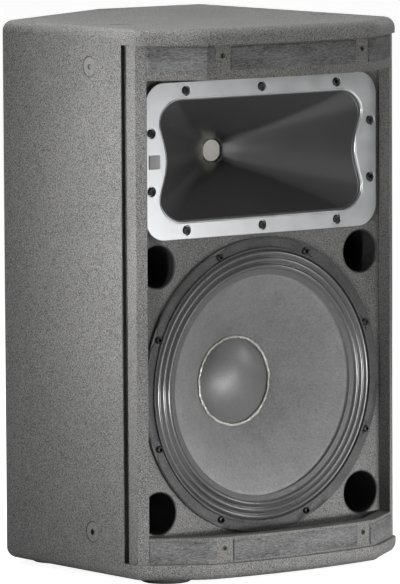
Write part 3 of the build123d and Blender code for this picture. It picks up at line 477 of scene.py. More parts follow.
def place_group(tree, group, **values):
    """The outputs of a shared effect, its inputs set to sockets or plain values."""
    made = tree.nodes.new("ShaderNodeGroup")
    made.node_tree = group
    for label, value in values.items():
        socket = made.inputs[label.replace("_", " ")]
        if isinstance(value, bpy.types.NodeSocket):
            tree.links.new(value, socket)
        else:
            socket.default_value = value
    return made.outputs


def bump(tree, height, distance, strength=1.0, normal=None):
    """A normal roughened by a height."""
    values = {"Height": height, "Distance": distance, "Strength": strength}
    if normal is not None:
        values["Normal"] = normal
    return add(tree, "ShaderNodeBump", values).outputs[0]


def coating(name, dark, light, worn=0.35, depth=0.0005, grain=520.0):
    """Textured coating on wood."""
    made, tree, shader = new_finish(name, Specular_IOR_Level=0.45)
    pebble = place_group(tree, PEBBLE, Dark=dark, Light=light, Grain=grain)
    wear = place_group(tree, EDGE_WEAR, Amount=worn)
    tree.links.new(mixed(tree, wear["Mask"], pebble["Color"], grey(0.22)), shader["Base Color"])
    tree.links.new(pebble["Roughness"], shader["Roughness"])
    tree.links.new(bump(tree, pebble["Height"], depth, 0.9, wear["Normal"]), shader["Normal"])
    return made


def moulded(name, colour, roughness=0.45, grain=1800.0, depth=0.00006, spread=0.15, tint=0.25, worn=0.15,
            metal=0.0, **values):
    """Plastic, rubber, paint or metal with a fine tooth and rubbed edges."""
    made, tree, shader = new_finish(name, **values)
    tooth = place_group(tree, GRAIN, Color=colour, Grain=grain, Roughness=roughness, Spread=spread, Tint=tint)
    wear = place_group(tree, EDGE_WEAR, Amount=worn, Radius=0.6 * MM)
    bright = tuple(min(1.0, 0.06 + 1.6 * channel) for channel in colour[:3]) + (1.0,)
    tree.links.new(mixed(tree, wear["Mask"], tooth["Color"], bright), shader["Base Color"])
    tree.links.new(tooth["Roughness"], shader["Roughness"])
    shader["Metallic"].default_value = metal
    tree.links.new(bump(tree, tooth["Height"], depth, 0.8, wear["Normal"]), shader["Normal"])
    return made


def woven(name, colour, gap_colour, threads, roughness, depth=0.0001, axis_height=woofer_z, **values):
    """Cloth, often doped: threads over a darker ground, a little uneven round the driver."""
    made, tree, shader = new_finish(name, **values)
    threads_out = place_group(tree, WEAVE, Threads=threads)
    around = place_group(tree, ROUND_AXIS, Axis_Height=axis_height, Fibres=7.0)
    tone = mixed(tree, threads_out["Gap"], colour, gap_colour)
    tree.links.new(mixed(tree, ramp(tree, around["Fibre"], 0.5, 1.1), tone, gap_colour), shader["Base Color"])
    shine = maths(tree, "MULTIPLY", maths(tree, "SUBTRACT", around["Fibre"], 0.5), 0.08)
    tree.links.new(maths(tree, "ADD", roughness, shine), shader["Roughness"])
    tree.links.new(bump(tree, threads_out["Height"], depth, 0.7), shader["Normal"])
    return made


def felted(name, dark, light, size=700.0, roughness=0.9, depth=0.0003, stretch=(1.0, 1.0, 1.0)):
    """Felt, foam and board: tangled fibres with open cells."""
    made, tree, shader = new_finish(name, Roughness=roughness)
    felt = place_group(tree, FELT, Size=size, Stretch=stretch)
    tone = mixed(tree, ramp(tree, felt["Tangle"], 0.35, 0.65), dark, light)
    flecked = mixed(tree, maths(tree, "MULTIPLY", felt["Fleck"], 0.4), tone, light)
    tree.links.new(flecked, shader["Base Color"])
    tree.links.new(bump(tree, felt["Tangle"], depth, 0.9), shader["Normal"])
    return made


def striped(name, dark, light, along, pitch, roughness=0.5, metal=0.0, depth=0.0001, wander=0.2):
    """Plies, strands and turns of wire: fine lines with a tone each."""
    made, tree, shader = new_finish(name, Metallic=metal)
    lines = place_group(tree, STRIPES, Along=along, Pitch=pitch, Wander=wander)
    tooth = place_group(tree, GRAIN, Roughness=roughness)
    half = maths(tree, "MULTIPLY", lines["Wave"], 0.5)
    share = maths(tree, "ADD", half, maths(tree, "MULTIPLY", lines["Layer"], 0.5))
    tree.links.new(mixed(tree, share, dark, light), shader["Base Color"])
    tree.links.new(tooth["Roughness"], shader["Roughness"])
    tree.links.new(bump(tree, lines["Wave"], depth, 0.8), shader["Normal"])
    return made


def cone_paper(name, dark, light, axis_height, inner, outer, band=0.9, roughness=0.75, gloss=0.0):
    """Pressed paper: fibres that run outwards, a felted ground, painted shade that darkens it towards the
    middle, and a paler band near the rim.
    """
    made, tree, shader = new_finish(name, Specular_IOR_Level=0.5, Sheen_Weight=0.1, Sheen_Roughness=0.5,
                                     Coat_Weight=gloss, Coat_Roughness=0.3)
    around = place_group(tree, ROUND_AXIS, Axis_Height=axis_height, Inner=inner, Outer=outer)
    felt = place_group(tree, FELT, Size=420.0)
    fibres = maths(tree, "MULTIPLY", ramp(tree, around["Fibre"], 0.3, 0.7), 0.2)
    # Painted shade: the paper's colour is darker towards the middle of the cone or dome and lighter outwards.
    painted_centre_shade = maths(tree, "MULTIPLY", around["Share"], 0.32)
    mottle = maths(tree, "MULTIPLY", ramp(tree, felt["Tangle"], 0.35, 0.65), 0.45)
    ground = maths(tree, "ADD", painted_centre_shade, mottle)
    rim = maths(tree, "MULTIPLY", ramp(tree, around["Share"], band, band + 0.02), 0.12)
    share = maths(tree, "ADD", maths(tree, "ADD", fibres, ground), rim, clamp=True)
    tree.links.new(mixed(tree, share, dark, light), shader["Base Color"])
    uneven = maths(tree, "MULTIPLY", maths(tree, "SUBTRACT", felt["Tangle"], 0.5), 0.3)
    tree.links.new(maths(tree, "ADD", roughness, uneven), shader["Roughness"])
    height = maths(tree, "ADD", maths(tree, "MULTIPLY", around["Fibre"], 0.5), felt["Tangle"])
    tree.links.new(bump(tree, height, 0.00025, 0.8), shader["Normal"])
    return made


def flare_paint(name, colour, roughness):
    """Satin black on the flare, with soft unevenness in the colour and the gloss."""
    made, tree, shader = new_finish(name, Specular_IOR_Level=0.6)
    tooth = place_group(tree, GRAIN, Color=colour, Roughness=roughness, Spread=0.05, Tint=0.04, Grain=2400.0)
    tree.links.new(tooth["Color"], shader["Base Color"])
    tree.links.new(tooth["Roughness"], shader["Roughness"])
    return made


coat = coating("textured_coating", grey(0.035, 0.01), grey(0.27, 0.01), depth=0.0009, grain=760.0)
# The rails' coating is a darker copy of the cabinet's: painted shade.
painted_shade_rail_coat = coating("rail_coating_painted_shade", grey(0.03, 0.02), grey(0.22, 0.02), grain=760.0)
screw_black = moulded("black_screw", grey(0.03), 0.32, metal=0.6, worn=0.5, tint=0.4)
cloth = woven("doped_cloth", grey(0.055), grey(0.03), 1100.0, 0.26, 0.00002, Coat_Weight=1.0,
              Coat_Roughness=0.14)
driver_cloth = woven("doped_driver_cloth", grey(0.05), grey(0.02), 2600.0, 0.45, axis_height=horn_z)
spider_cloth = woven("spider_cloth", (0.42, 0.27, 0.09, 1), (0.2, 0.12, 0.04, 1), 900.0, 0.7)
screen_cloth = woven("pale_screen", (0.95, 0.93, 0.87, 1), (0.6, 0.57, 0.52, 1), 1500.0, 0.6, 0.0003, horn_z)
cone_finish = cone_paper("paper_cone", grey(0.06), grey(0.24), woofer_z, 0.038, 0.152)
dome_finish = cone_paper("paper_dome", grey(0.06), grey(0.13), woofer_z, 0.0, 0.0565, 0.97, 0.44, 0.35)
flange_paint = moulded("horn_satin", (0.42, 0.425, 0.43, 1), 0.34, 2600.0, 0.00003, 0.1, 0.12, 0.25, metal=0.85)
flare_black = flare_paint("horn_flare_black", grey(0.036), 0.3)
braid = striped("tinned_braid", grey(0.25, 0.02), grey(0.6, 0.03), (0.6, 0.5, 0.6), 0.0006, 0.4, 0.9)
glue_gloss = moulded("glue", (0.3, 0.3, 0.28, 1), 0.1, Coat_Weight=1.0, worn=0.0, spread=0.1, tint=0.8)
rubber = moulded("rubber", grey(0.022), 0.75, 900.0, 0.0001, tint=0.6)
badge_finish = moulded("badge_satin", grey(0.2), 0.4, worn=0.4, metal=0.4)
board_black = felted("gasket_board", grey(0.008), grey(0.06), 420.0, 0.6, 0.0004)
FINISHES = {
    "textured_coating": coat,
    "bare_plywood": striped("bare_plywood", (0.36, 0.22, 0.1, 1), (0.62, 0.43, 0.24, 1), (0.02, 0.01, 1.0),
                            0.0024, 0.7, wander=0.5),
    "foam": felted("foam", grey(0.02), grey(0.16), 520.0, 0.95, 0.0006, (0.35, 0.35, 1.6)),
    "lining_felt": felted("lining_felt", (0.3, 0.31, 0.3, 1), (0.6, 0.6, 0.57, 1), 240.0, 0.95, 0.002),
    "rubber": rubber,
    "black_screw": screw_black,
    "painted_blank": coating("painted_blank", grey(0.09, 0.01), grey(0.2, 0.01), 0.2, 0.00025, 700.0),
    "zinc_steel": moulded("zinc_steel", (0.5, 0.5, 0.48, 1), 0.35, metal=1.0, spread=0.3, tint=0.3, worn=0.2),
    "coated_steel": moulded("coated_steel", grey(0.03), 0.5, 1300.0, 0.0001, tint=0.4),
    "moulded_black": moulded("moulded_black", grey(0.02), 0.5, tint=0.5),
    "basket_black": moulded("basket_black", grey(0.05), 0.36, 1500.0, metal=0.3, worn=0.45, spread=0.25),
    "gasket_board": board_black,
    "doped_cloth": cloth,
    "spider_cloth": spider_cloth,
    "ferrite": moulded("ferrite", grey(0.035), 0.6, 700.0, 0.0002, tint=0.8, worn=0.5),
    "tinned_braid": braid,
    "paper_cone": cone_finish,
    "glue": glue_gloss,
    "coil_former": striped("coil_former", (0.3, 0.16, 0.05, 1), (0.42, 0.25, 0.09, 1), (0.0, 1.0, 0.0),
                           0.004, 0.4),
    "copper": striped("copper", (0.45, 0.16, 0.07, 1), (0.8, 0.4, 0.22, 1), (0.0, 1.0, 0.0),
                      0.0009, 0.3, 0.9),
    "titanium": moulded("titanium", (0.5, 0.49, 0.47, 1), 0.3, metal=1.0, spread=0.3),
    "horn_satin": flange_paint,
    "badge_satin": badge_finish,
    "pale_screen": screen_cloth,
    "circuit_board": striped("circuit_board", (0.01, 0.09, 0.035, 1), (0.02, 0.16, 0.06, 1), (0.0, 0.7, 0.7),
                             0.003, 0.35),
    "brass_post": moulded("brass_post", (0.6, 0.42, 0.16, 1), 0.3, metal=1.0, spread=0.3, tint=0.4),
    "capacitor_sleeve": moulded("capacitor_sleeve", (0.55, 0.36, 0.03, 1), 0.25, 600.0, tint=0.4),
    "resistor_ceramic": moulded("resistor_ceramic", (0.6, 0.58, 0.52, 1), 0.75, 900.0, 0.0002, tint=0.5),
    "wire_sleeve": moulded("wire_sleeve", grey(0.025), 0.4, 700.0, 0.0002, tint=0.5),
}


def dress(slot_finishes):
    """Gives every node of the frame the finish of its slot. The grille's rails get a darker copy of the
    coating, which is painted shade.
    """
    slots = {entry["node"]: entry["material_slot"] for entry in frame["record"]["subparts"]}
    for name, node in frame["nodes"].items():
        node.data.materials.clear()
        node.data.materials.append(painted_shade_rail_coat if "grille_rail" in name else slot_finishes[slots[name]])


dress(FINISHES)


# ---- Horn ----
def rounded_outline(half_width, half_rise, corner, waist=0.0, side_steps=24, corner_steps=24):
    """Points round a rectangle with rounded corners, about its middle. waist pinches its upright sides."""
    points = []
    for turn, (across, up) in enumerate(((1, 1), (-1, 1), (-1, -1), (1, -1))):
        centre_x, centre_z = across * (half_width - corner), up * (half_rise - corner)
        for index in range(corner_steps):
            angle = pi / 2 * (turn + index / (corner_steps - 1))
            points.append((centre_x + corner * cos(angle), centre_z + corner * sin(angle)))
        end_x, end_z = points[-1]
        run_x, run_z = (-2 * centre_x, 0) if turn % 2 == 0 else (0, -2 * centre_z)
        for index in range(1, side_steps):
            points.append((end_x + run_x * index / side_steps, end_z + run_z * index / side_steps))
    pinched = []
    for x, z in points:
        pull = waist * cos(pi / 2 * min(1.0, abs(z) / (0.8 * half_rise))) ** 2
        pinched.append((x - pull if x > 0 else x + pull, z) if abs(x) > half_width * 0.5 else (x, z))
    return pinched


def plate_mesh(outlines, front, back, bevel):
    """A flat plate between two depths, its edges rounded. Outlines inside the first are holes."""
    curve = bpy.data.curves.new("plate", "CURVE")
    curve.dimensions = "2D"
    curve.fill_mode = "BOTH"
    for outline in outlines:
        spline = curve.splines.new("POLY")
        spline.points.add(len(outline) - 1)
        for point, (x, z) in zip(spline.points, outline):
            point.co = (x, z, 0, 1)
        spline.use_cyclic_u = True
    curve.extrude = (back - front) / 2 - bevel
    curve.bevel_depth = bevel
    curve.bevel_resolution = 2
    curve.offset = -bevel
    holder = bpy.data.objects.new("plate", curve)
    bpy.context.scene.collection.objects.link(holder)
    data = bpy.data.meshes.new_from_object(holder.evaluated_get(bpy.context.evaluated_depsgraph_get()))
    bpy.data.objects.remove(holder)
    bpy.data.curves.remove(curve)
    data.transform(Matrix.Translation((0, (front + back) / 2, 0)) @ Matrix.Rotation(pi / 2, 4, "X"))
    return data


def round_outline(x, z, radius, steps=40):
    """Points round a circle."""
    return [(x + radius * cos(angle), z + radius * sin(angle)) for angle in angles(steps)]


def moved(outline, middle):
    """An outline set about a middle."""
    return [(middle.x + x, middle.z + z) for x, z in outline]


def loop_at(outline, depth):
    """An outline as a loop of points at a depth along Y."""
    return [Vector((x, depth, z)) for x, z in outline]


def islands(node):
    """The boxes of a node's separate solids, lowest corner and highest corner."""
    bm = bmesh.new()
    bm.from_mesh(frame["nodes"][node].data)
    bmesh.ops.remove_doubles(bm, verts=bm.verts, dist=WELD)
    bm.transform(frame["nodes"][node].matrix_world)
    left, boxes = set(bm.verts), []
    while left:
        group, edge_of_group = set(), [left.pop()]
        while edge_of_group:
            vertex = edge_of_group.pop()
            group.add(vertex)
            for edge in vertex.link_edges:
                other = edge.other_vert(vertex)
                if other in left:
                    left.discard(other)
                    edge_of_group.append(other)
        points = np.array([vertex.co for vertex in group])
        boxes.append((Vector(points.min(0)), Vector(points.max(0))))
    bm.free()
    return sorted(boxes, key=lambda box: tuple(box[0]))


def add_plate(name, meshes, body, finish):
    """Joins plate meshes into one piece whose flat faces shade flat."""
    bm = bmesh.new()
    for data in meshes:
        bm.from_mesh(data)
        bpy.data.meshes.remove(data)
    bmesh.ops.remove_doubles(bm, verts=bm.verts, dist=WELD)
    piece = piece_from(name, bm, body, finish)
    flat = piece.modifiers.new("flat_faces", "WEIGHTED_NORMAL")
    flat.keep_sharp = True
    return piece


# The horn's mouth and throat: half width, half rise and corner radius, then the pinch of the mouth's sides.
MOUTH = (0.1675, 0.0780, 0.0360, 0.0130)
THROAT = (0.0133, 0.0152, 0.0090)
LIP = 3 * MM
LIP_PROUD = 0.4 * MM
LIP_STEPS = 8
FLANGE_CORNER = 30 * MM
FLANGE_EDGE = 0.7 * MM
SCREW_SEAT = 6.5 * MM
SCREW_BORE = 2.6 * MM
SEAT_DEPTH = 2.6 * MM
FLARE_STEPS = 60
FLARE_WALL = 3.2 * MM
throat_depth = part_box("throat_screen")[0].y


def make_horn():
    """A satin plate with a rolled lip round the mouth, and the black flare behind it."""
    middle = Vector((horn_axis.x, 0, horn_z))
    half_width = (horn_high.x - horn_low.x) / 2
    half_rise = (horn_high.z - horn_low.z) / 2
    screws = [(low + high) / 2 for low, high in islands("horn_screws")]
    front, back = horn_low.y, baffle_face
    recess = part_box("horn_screws")[0].y + SEAT_DEPTH
    outside = moved(rounded_outline(half_width, half_rise, FLANGE_CORNER), middle)
    mouth = moved(rounded_outline(MOUTH[0] + LIP, MOUTH[1] + LIP, MOUTH[2] + LIP, MOUTH[3]), middle)
    seats = [round_outline(screw.x, screw.z, SCREW_SEAT) for screw in screws]
    bores = [round_outline(screw.x, screw.z, SCREW_BORE) for screw in screws]
    plates = [
        plate_mesh([outside, mouth, *seats], front, recess, FLANGE_EDGE),
        plate_mesh([outside, mouth, *bores], recess, back, 0.1 * MM),
    ]
    lip = bmesh.new()
    loops = []
    for index in range(LIP_STEPS + 1):
        angle = pi / 2 * index / LIP_STEPS
        out = LIP * (1 - sin(angle))
        outline = rounded_outline(MOUTH[0] + out, MOUTH[1] + out, MOUTH[2] + out, MOUTH[3])
        depth = front - LIP_PROUD + (LIP + LIP_PROUD) * (1 - cos(angle))
        loops.append(loop_at(moved(outline, middle), depth))
    rim, throat_side = ([(point.x, point.z) for point in loop] for loop in (loops[0], loops[-1]))
    loops += [loop_at(throat_side, front + 5 * MM), loop_at(throat_side, back)]
    loops += [loop_at(rim, back), loop_at(rim, front + FLANGE_EDGE)]
    skin(lip, loops)
    lip_mesh = bpy.data.meshes.new("lip")
    lip.to_mesh(lip_mesh)
    lip.free()
    flange = add_plate("horn_flange", [*plates, lip_mesh], "cabinet", flange_paint)
    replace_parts(flange, "horn_waveguide")

    loops = []
    start = front + LIP
    for index in range(FLARE_STEPS + 1):
        share = index / FLARE_STEPS
        wide = THROAT[0] + (MOUTH[0] - THROAT[0]) * (1 - share) ** 1.15
        high = THROAT[1] + (MOUTH[1] - THROAT[1]) * (1 - share) ** 1.3
        corner = THROAT[2] + (MOUTH[2] - THROAT[2]) * (1 - share) ** 2.2
        corner = min(corner, high * 0.95, wide * 0.95)
        outline = rounded_outline(wide, high, corner, MOUTH[3] * (1 - share) ** 1.1)
        loops.append(loop_at(moved(outline, middle), start + (throat_depth - start) * share))
    bm = bmesh.new()
    skin(bm, loops)
    flare = piece_from("horn_flare", bm, "cabinet", flare_black)
    thick = flare.modifiers.new("wall", "SOLIDIFY")
    thick.thickness = FLARE_WALL
    thick.offset = 1.0
    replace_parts(flare, "horn_waveguide")
    rear, step = horn_high.y, throat_depth - 3 * MM
    boss_section = [(16.5 * MM, step), (43 * MM, step), (45 * MM, throat_depth), (45 * MM, rear - 0.6 * MM),
                    (44.4 * MM, rear), (12.9 * MM, rear), (12.7 * MM, rear - 0.3 * MM),
                    (12.7 * MM, throat_depth + 1 * MM)]
    rear_boss = turned("horn_rear_boss", middle, boss_section, "cabinet", flare_black)
    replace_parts(rear_boss, "horn_waveguide")
    edge = moved(rounded_outline(THROAT[0] + 0.2 * MM, THROAT[1] + 0.2 * MM, THROAT[2]), middle)
    cloth_disc = plate_mesh([edge], throat_depth - 0.6 * MM, throat_depth, 0.1 * MM)
    screen = add_plate("woven_throat_screen", [cloth_disc], "cabinet", screen_cloth)
    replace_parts(screen, "throat_screen")


make_horn()


def make_badge():
    """A blank badge: a plate with a raised border."""
    low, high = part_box("blank_badge")
    middle = (low + high) / 2
    half = (high.x - low.x) / 2
    border = 1.2 * MM
    outer = moved(rounded_outline(half, half, 1.4 * MM), middle)
    inner = moved(rounded_outline(half - border, half - border, 0.8 * MM), middle)
    plates = [plate_mesh([outer], low.y + 0.3 * MM, high.y, 0.1 * MM),
              plate_mesh([outer, inner], low.y, low.y + 0.35 * MM, 0.12 * MM)]
    badge = add_plate("badge_plate", plates, "cabinet", badge_finish)
    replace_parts(badge, "blank_badge")


make_badge()


# ---- Screws ----
def make_screws(name, node, facing, head, finish=screw_black, lobes=6, depth=0.55,
                opening=0.46, dome=1.0):
    """Domed heads with a star or cross recess over their shanks, one for each solid of the node.

    head is the head's radius, its height and the shank's radius, in millimetres. Without a facing, the
    screws at the top of the cabinet face up and the others left.
    """
    head_radius, head_height, shank_radius = (size * MM for size in head)
    bm = bmesh.new()
    rng = np.random.default_rng(len(name))

    def loop(radius, height, star=0.0, spin=0.0):
        """A ring of the screw below its top, drawn out into lobes by star."""
        points = []
        for angle in angles(48):
            r = radius * (1 + star * cos(lobes * angle))
            points.append(place @ Vector((r * cos(angle + spin), r * sin(angle + spin), height)))
        return points

    for low, high in islands(node):
        middle = (low + high) / 2
        out = Vector(facing or ((0, 0, 1) if high.z > cad_high[2] - MM else (-1, 0, 0)))
        turn = out.to_track_quat("Z", "Y").to_matrix().to_4x4()
        length = abs((high - low).dot(out))
        place = Matrix.Translation(middle + out * length / 2) @ turn
        spin = float(rng.uniform(0, pi))
        recess = head_radius * opening
        loops = [
            [place @ Vector((0, 0, -length))],
            loop(shank_radius * 0.55, -length),
            loop(shank_radius, -length + shank_radius),
            loop(shank_radius, -head_height),
            loop(head_radius * 0.97, -head_height),
            loop(head_radius, -head_height * 0.82),
            loop(head_radius * 0.99, -head_height * 0.55 * dome),
            loop(head_radius * 0.9, -head_height * 0.22 * dome),
            loop(head_radius * 0.72, -head_height * 0.05 * dome),
            loop(recess * 1.12, 0.0, 0.13, spin),
            loop(recess, -head_height * 0.05, 0.16, spin),
            loop(recess * 0.94, -head_height * depth, 0.16, spin),
            [place @ Vector((0, 0, -head_height * (depth + 0.12)))],
        ]
        skin(bm, loops)
    piece = piece_from(name, bm, "cabinet", finish)
    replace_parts(piece, node)


FRONT, REAR, DOWN, RIGHT = (0, -1, 0), (0, 1, 0), (0, 0, -1), (1, 0, 0)
make_screws("horn_mounting_screws", "horn_screws", FRONT, (5.2, 2.6, 2.4))
make_screws("woofer_mounting_bolts", "woofer_bolts", FRONT, (4.8, 4.5, 2.9), depth=0.7)
make_screws("rigging_blanks", "rigging_blank_screws", None, (13.1, 2.4, 4.25),
            FINISHES["painted_blank"], depth=0.8, opening=0.24, dome=0.4)
make_screws("foot_fixing_screws", "foot_screws", DOWN, (4.6, 2.6, 2.4), lobes=4)
make_screws("pole_cup_screws", "pole_socket_screws", DOWN, (3.8, 1.8, 2.0), lobes=4)
make_screws("plate_fixing_screws", "input_plate_screws", REAR, (3.2, 1.4, 1.6), lobes=4)
make_screws("handle_fixing_screws", "handle_screws", RIGHT, (3.8, 1.2, 1.9), lobes=4)


def make_feet():
    """Soft rubber feet with a sunk middle and a moulded ring."""
    bm = bmesh.new()
    for low, high in islands("rubber_feet"):
        middle = (low + high) / 2
        radius = (high.x - low.x) / 2
        tall = high.z - low.z
        section = (
            (2.6 * MM, tall), (radius - 0.8 * MM, tall), (radius, tall - 0.8 * MM), (radius, 2.6 * MM),
            (radius - 0.7 * MM, 1.0 * MM), (radius - 2.4 * MM, 0.0), (radius - 9 * MM, 0.0),
            (radius - 10 * MM, 0.9 * MM), (radius - 12 * MM, 0.9 * MM), (radius - 13 * MM, 0.0),
            (7.2 * MM, 0.0), (5.9 * MM, 0.6 * MM), (5.6 * MM, tall - 2.2 * MM), (2.6 * MM, tall - 2.0 * MM),
        )
        loops = [[Vector((middle.x + r * cos(angle), middle.y + r * sin(angle), low.z + z))
                  for angle in angles(96)] for r, z in section]
        skin(bm, loops, closed=True)
    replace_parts(piece_from("moulded_feet", bm, "cabinet", rubber), "rubber_feet")


make_feet()


# ---- Woofer ----
COIL_RADIUS = 38.3 * MM
CONE_EDGE = 152 * MM


def set_radial_blend(piece):
    """Bakes the piece's placement into its mesh. No bending between bodies is set."""
    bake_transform(piece)


def rolled_section(inner, outer, depth, rolls, height, sheet, steps=14):
    """Section of a corrugated ring: rolls standing forward of a sheet of even thickness."""
    front = [(inner, depth)]
    pitch = (outer - inner) / rolls
    for index in range(rolls):
        for step in range(1 if index else 0, steps + 1):
            share = step / steps
            front.append((inner + pitch * (index + share), depth - height * sin(pi * share) ** 1.3))
    front.append((outer, depth))
    back = [(radius, y + sheet) for radius, y in reversed(front)]
    return front + back


def make_cone():
    """The cone, bowed a little forward with a ridge near its rim, and the dust cap, part of a sphere."""
    low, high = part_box("woofer_cone")
    centre = Vector((woofer_axis.x, 0, woofer_z))
    edge = (high.x - low.x) / 2
    paper, bulge = 1.2 * MM, 1.7 * MM
    rim_y, neck_y = low.y, high.y - paper
    front = []
    for index in range(49):
        share = index / 48
        radius = edge + (COIL_RADIUS - edge) * share
        ridge = 0.35 * MM if 0.1 < share < 0.125 else 0.0
        depth = rim_y + (neck_y - rim_y) * share - 4 * bulge * share * (1 - share) - ridge
        front.append((radius, depth))
    back = [(radius, depth + paper) for radius, depth in reversed(front)]
    cone = turned("felted_cone", centre, front + back, "woofer_moving", cone_finish, 192)
    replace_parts(cone, "woofer_cone")
    low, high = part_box("woofer_dust_cap")
    shell, hem = 0.8 * MM, 1.2 * MM
    radius, rise = (high.x - low.x) / 2, high.y - low.y - shell
    sphere = (radius**2 + rise**2) / (2 * rise)
    front = []
    for index in range(25):
        angle = asin(radius / sphere) * index / 24
        front.append((sphere * sin(angle), low.y + sphere * (1 - cos(angle))))
    front += [(radius + hem, high.y - shell + 0.3 * MM), (radius + hem, high.y)]
    back = [(r, y + shell) for r, y in reversed(front[:-2])]
    cap = turned("pressed_dust_cap", centre, front + back, "woofer_moving", dome_finish, 160,
                 closed=False)
    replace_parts(cap, "woofer_dust_cap")


make_cone()


def make_glue_bead():
    """A hand-laid bead that wanders round the dust cap."""
    low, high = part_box("dust_cap_glue_bead")
    radius = (high.x - low.x) / 2 - 1.4 * MM
    depth = (low.y + high.y) / 2
    loops = []
    for angle in angles(320):
        point = Vector((cos(angle) * 6, sin(angle) * 6, 0))
        wander = noise.noise(point) * 0.9 * MM + noise.noise(point * 4) * 0.35 * MM
        fat = 1.5 * MM * (1 + 0.6 * noise.noise(point * 1.7 + Vector((9, 0, 0))))
        loop = []
        for turn in angles(14):
            r = radius + wander + fat * 1.25 * cos(turn)
            y = depth + fat * sin(turn)
            loop.append(Vector((woofer_axis.x + r * cos(angle), y, woofer_z + r * sin(angle))))
        loops.append(loop)
    bm = bmesh.new()
    skin(bm, loops, closed=True)
    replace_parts(piece_from("laid_glue_bead", bm, "woofer_moving", glue_gloss), "dust_cap_glue_bead")


make_glue_bead()


def make_suspension():
    """The surround, the spider and the small driver's roll, each turned from a corrugated section."""
    centre = Vector((woofer_axis.x, 0, woofer_z))
    low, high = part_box("woofer_surround")
    outer = (high.x - low.x) / 2
    section = [(CONE_EDGE - 7 * MM, high.y - 0.4 * MM)]
    section += rolled_section(CONE_EDGE, outer, high.y - 0.9 * MM, 3, 2.6 * MM, 0.6 * MM)
    surround = turned("pleated_surround", centre, section, None, cloth, 224)
    set_radial_blend(surround)
    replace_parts(surround, "woofer_surround")
    low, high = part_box("woofer_spider")
    outer = (high.x - low.x) / 2
    section = rolled_section(COIL_RADIUS, outer, high.y - 0.7 * MM, 5, 2.2 * MM, 0.5 * MM, 10)
    spider = turned("pleated_spider", centre, section, None, spider_cloth, 128)
    set_radial_blend(spider)
    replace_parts(spider, "woofer_spider")
    small = Vector((horn_axis.x, 0, horn_z))
    low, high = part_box("driver_suspension")
    outer = (high.x - low.x) / 2
    section = rolled_section(22.6 * MM, outer, high.y - 0.3 * MM, 1, 1.0 * MM, 0.25 * MM, 12)
    ring = turned("driver_roll", small, section, None, driver_cloth, 96)
    set_radial_blend(ring)
    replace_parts(ring, "driver_suspension")


make_suspension()


def make_leads():
    """Two braided leads that loop from the back of the cone to the terminals."""
    bm = bmesh.new()
    low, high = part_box("woofer_tinsel_leads")
    radius = 0.9 * MM
    for side in (low.x + radius, high.x - radius):
        start = Vector((side, low.y + radius, low.z + radius))
        end = Vector((side, high.y, high.z - radius))
        ties = [start, start + Vector((0, 9 * MM, 5 * MM)), start + Vector((0, 15 * MM, 20 * MM)),
                end + Vector((0, -14 * MM, 1 * MM)), end]
        points = []
        for k in range(len(ties) - 1):
            before, after = ties[max(k - 1, 0)], ties[min(k + 2, len(ties) - 1)]
            for step in range(12):
                t = step / 12
                a, b = ties[k], ties[k + 1]
                points.append(0.5 * (2 * a + (b - before) * t + (2 * before - 5 * a + 4 * b - after) * t**2
                                     + (3 * a - before - 3 * b + after) * t**3))
        points.append(end)
        loops = []
        for k, point in enumerate(points):
            along = (points[min(k + 1, len(points) - 1)] - points[max(k - 1, 0)]).normalized()
            across = Vector((1, 0, 0))
            up = along.cross(across).normalized()
            loops.append([point + (across * cos(angle) + up * sin(angle)) * radius for angle in angles(10)])
        skin(bm, loops, cap_first=True, cap_last=True)
    leads = piece_from("braided_leads", bm, None, braid)
    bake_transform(leads)
    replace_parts(leads, "woofer_tinsel_leads")


make_leads()


def make_frame_gasket():
    """Board segments on the woofer's flange, split between the bolts and notched round them."""
    frame_low, frame_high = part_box("woofer_frame")
    margin, board_width, board_sheet = 0.8 * MM, 12.4 * MM, 0.9 * MM
    outer = (frame_high.x - frame_low.x) / 2 - margin
    inner = outer - board_width
    front = frame_low.y
    bolts, steps = 8, 40
    bm = bmesh.new()
    for start in angles(bolts):
        loops = []
        for step in range(steps + 1):
            share = step / steps
            angle = pi / bolts + start + 2 * pi / bolts * (0.035 + 0.93 * share)
            near = min(share, 1 - share)
            notch = 8.0 * MM * max(0.0, 1 - near / 0.07)
            r_in, r_out = inner + notch * 0.6, outer - notch * 0.35
            lift = board_sheet * (1 + 0.25 * sin(7 * angle))
            corners = ((r_in, front), (r_in, front - lift * 0.7), (r_in + 0.3 * MM, front - lift),
                       (r_out - 0.3 * MM, front - lift), (r_out, front - lift * 0.7), (r_out, front))
            loops.append([Vector((woofer_axis.x + r * cos(angle), y, woofer_z + r * sin(angle)))
                          for r, y in corners])
        skin(bm, loops, cap_first=True, cap_last=True)
    piece_from("flange_gasket_segments", bm, "cabinet", board_black)


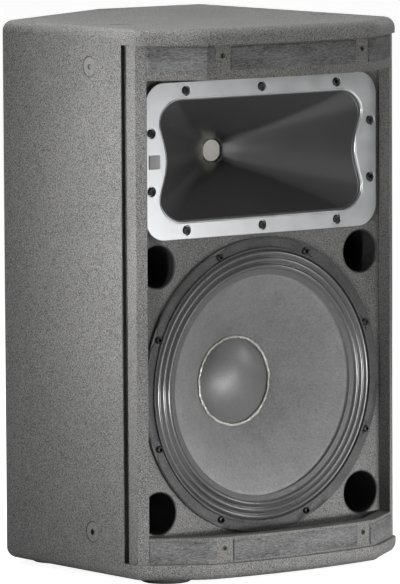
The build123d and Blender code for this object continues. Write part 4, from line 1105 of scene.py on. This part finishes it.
make_frame_gasket()


def make_inserts():
    """Threaded inserts let into the rails where the grille's screws go."""
    section = ((1.75, -6.0), (1.75, 0.1), (2.1, 0.5), (3.3, 0.5), (3.6, 0.2), (3.6, -0.2), (2.2, -6.0))
    half_span, aside = 115 * MM, Vector((0, 0, 4 * MM))
    top, bottom = "top_grille_rail", "bottom_grille_rail"
    bm = bmesh.new()
    for node, z in ((top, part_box(top)[1].z - 14.5 * MM), (bottom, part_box(bottom)[0].z + 19.5 * MM)):
        rail = frame["nodes"][node]
        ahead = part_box(node)[0].y - 0.1
        for x in (-half_span, half_span):
            # The face is found a little above the insert, clear of the hole.
            start = rail.matrix_world.inverted() @ (Vector((x, ahead, z)) + aside)
            place, normal = rail.ray_cast(start, Vector((0, 1, 0)))[1:3]
            out = (rail.matrix_world.to_3x3() @ normal).normalized()
            turn = out.to_track_quat("Z", "Y").to_matrix().to_4x4()
            base = Matrix.Translation(rail.matrix_world @ place - aside) @ turn
            skin(bm, [[base @ Vector((r * MM * cos(angle), r * MM * sin(angle), h * MM))
                       for angle in angles(36)] for r, h in section], closed=True)
    piece_from("grille_screw_inserts", bm, "cabinet", screw_black)


make_inserts()


# ---- Floor ----
FLOOR_HEIGHT = -0.4 * MM


def make_floor():
    """A wide pale floor, just below the feet."""
    bm = bmesh.new()
    data = bpy.data.meshes.new("floor")
    bmesh.ops.create_grid(bm, x_segments=8, y_segments=8, size=40.0)
    bmesh.ops.translate(bm, verts=bm.verts, vec=(0, 0, FLOOR_HEIGHT))
    bm.to_mesh(data)
    bm.free()
    floor = bpy.data.objects.new("floor", data)
    bpy.context.scene.collection.objects.link(floor)
    made, tree, shader = new_finish("pale_floor", Roughness=0.9)
    shader["Base Color"].default_value = grey(0.6)
    seen = tree.nodes.new("ShaderNodeLightPath").outputs["Is Camera Ray"]
    shader["Emission Color"].default_value = grey(1.0)
    tree.links.new(maths(tree, "MULTIPLY", seen, 0.9), shader["Emission Strength"])
    data.materials.append(made)


make_floor()
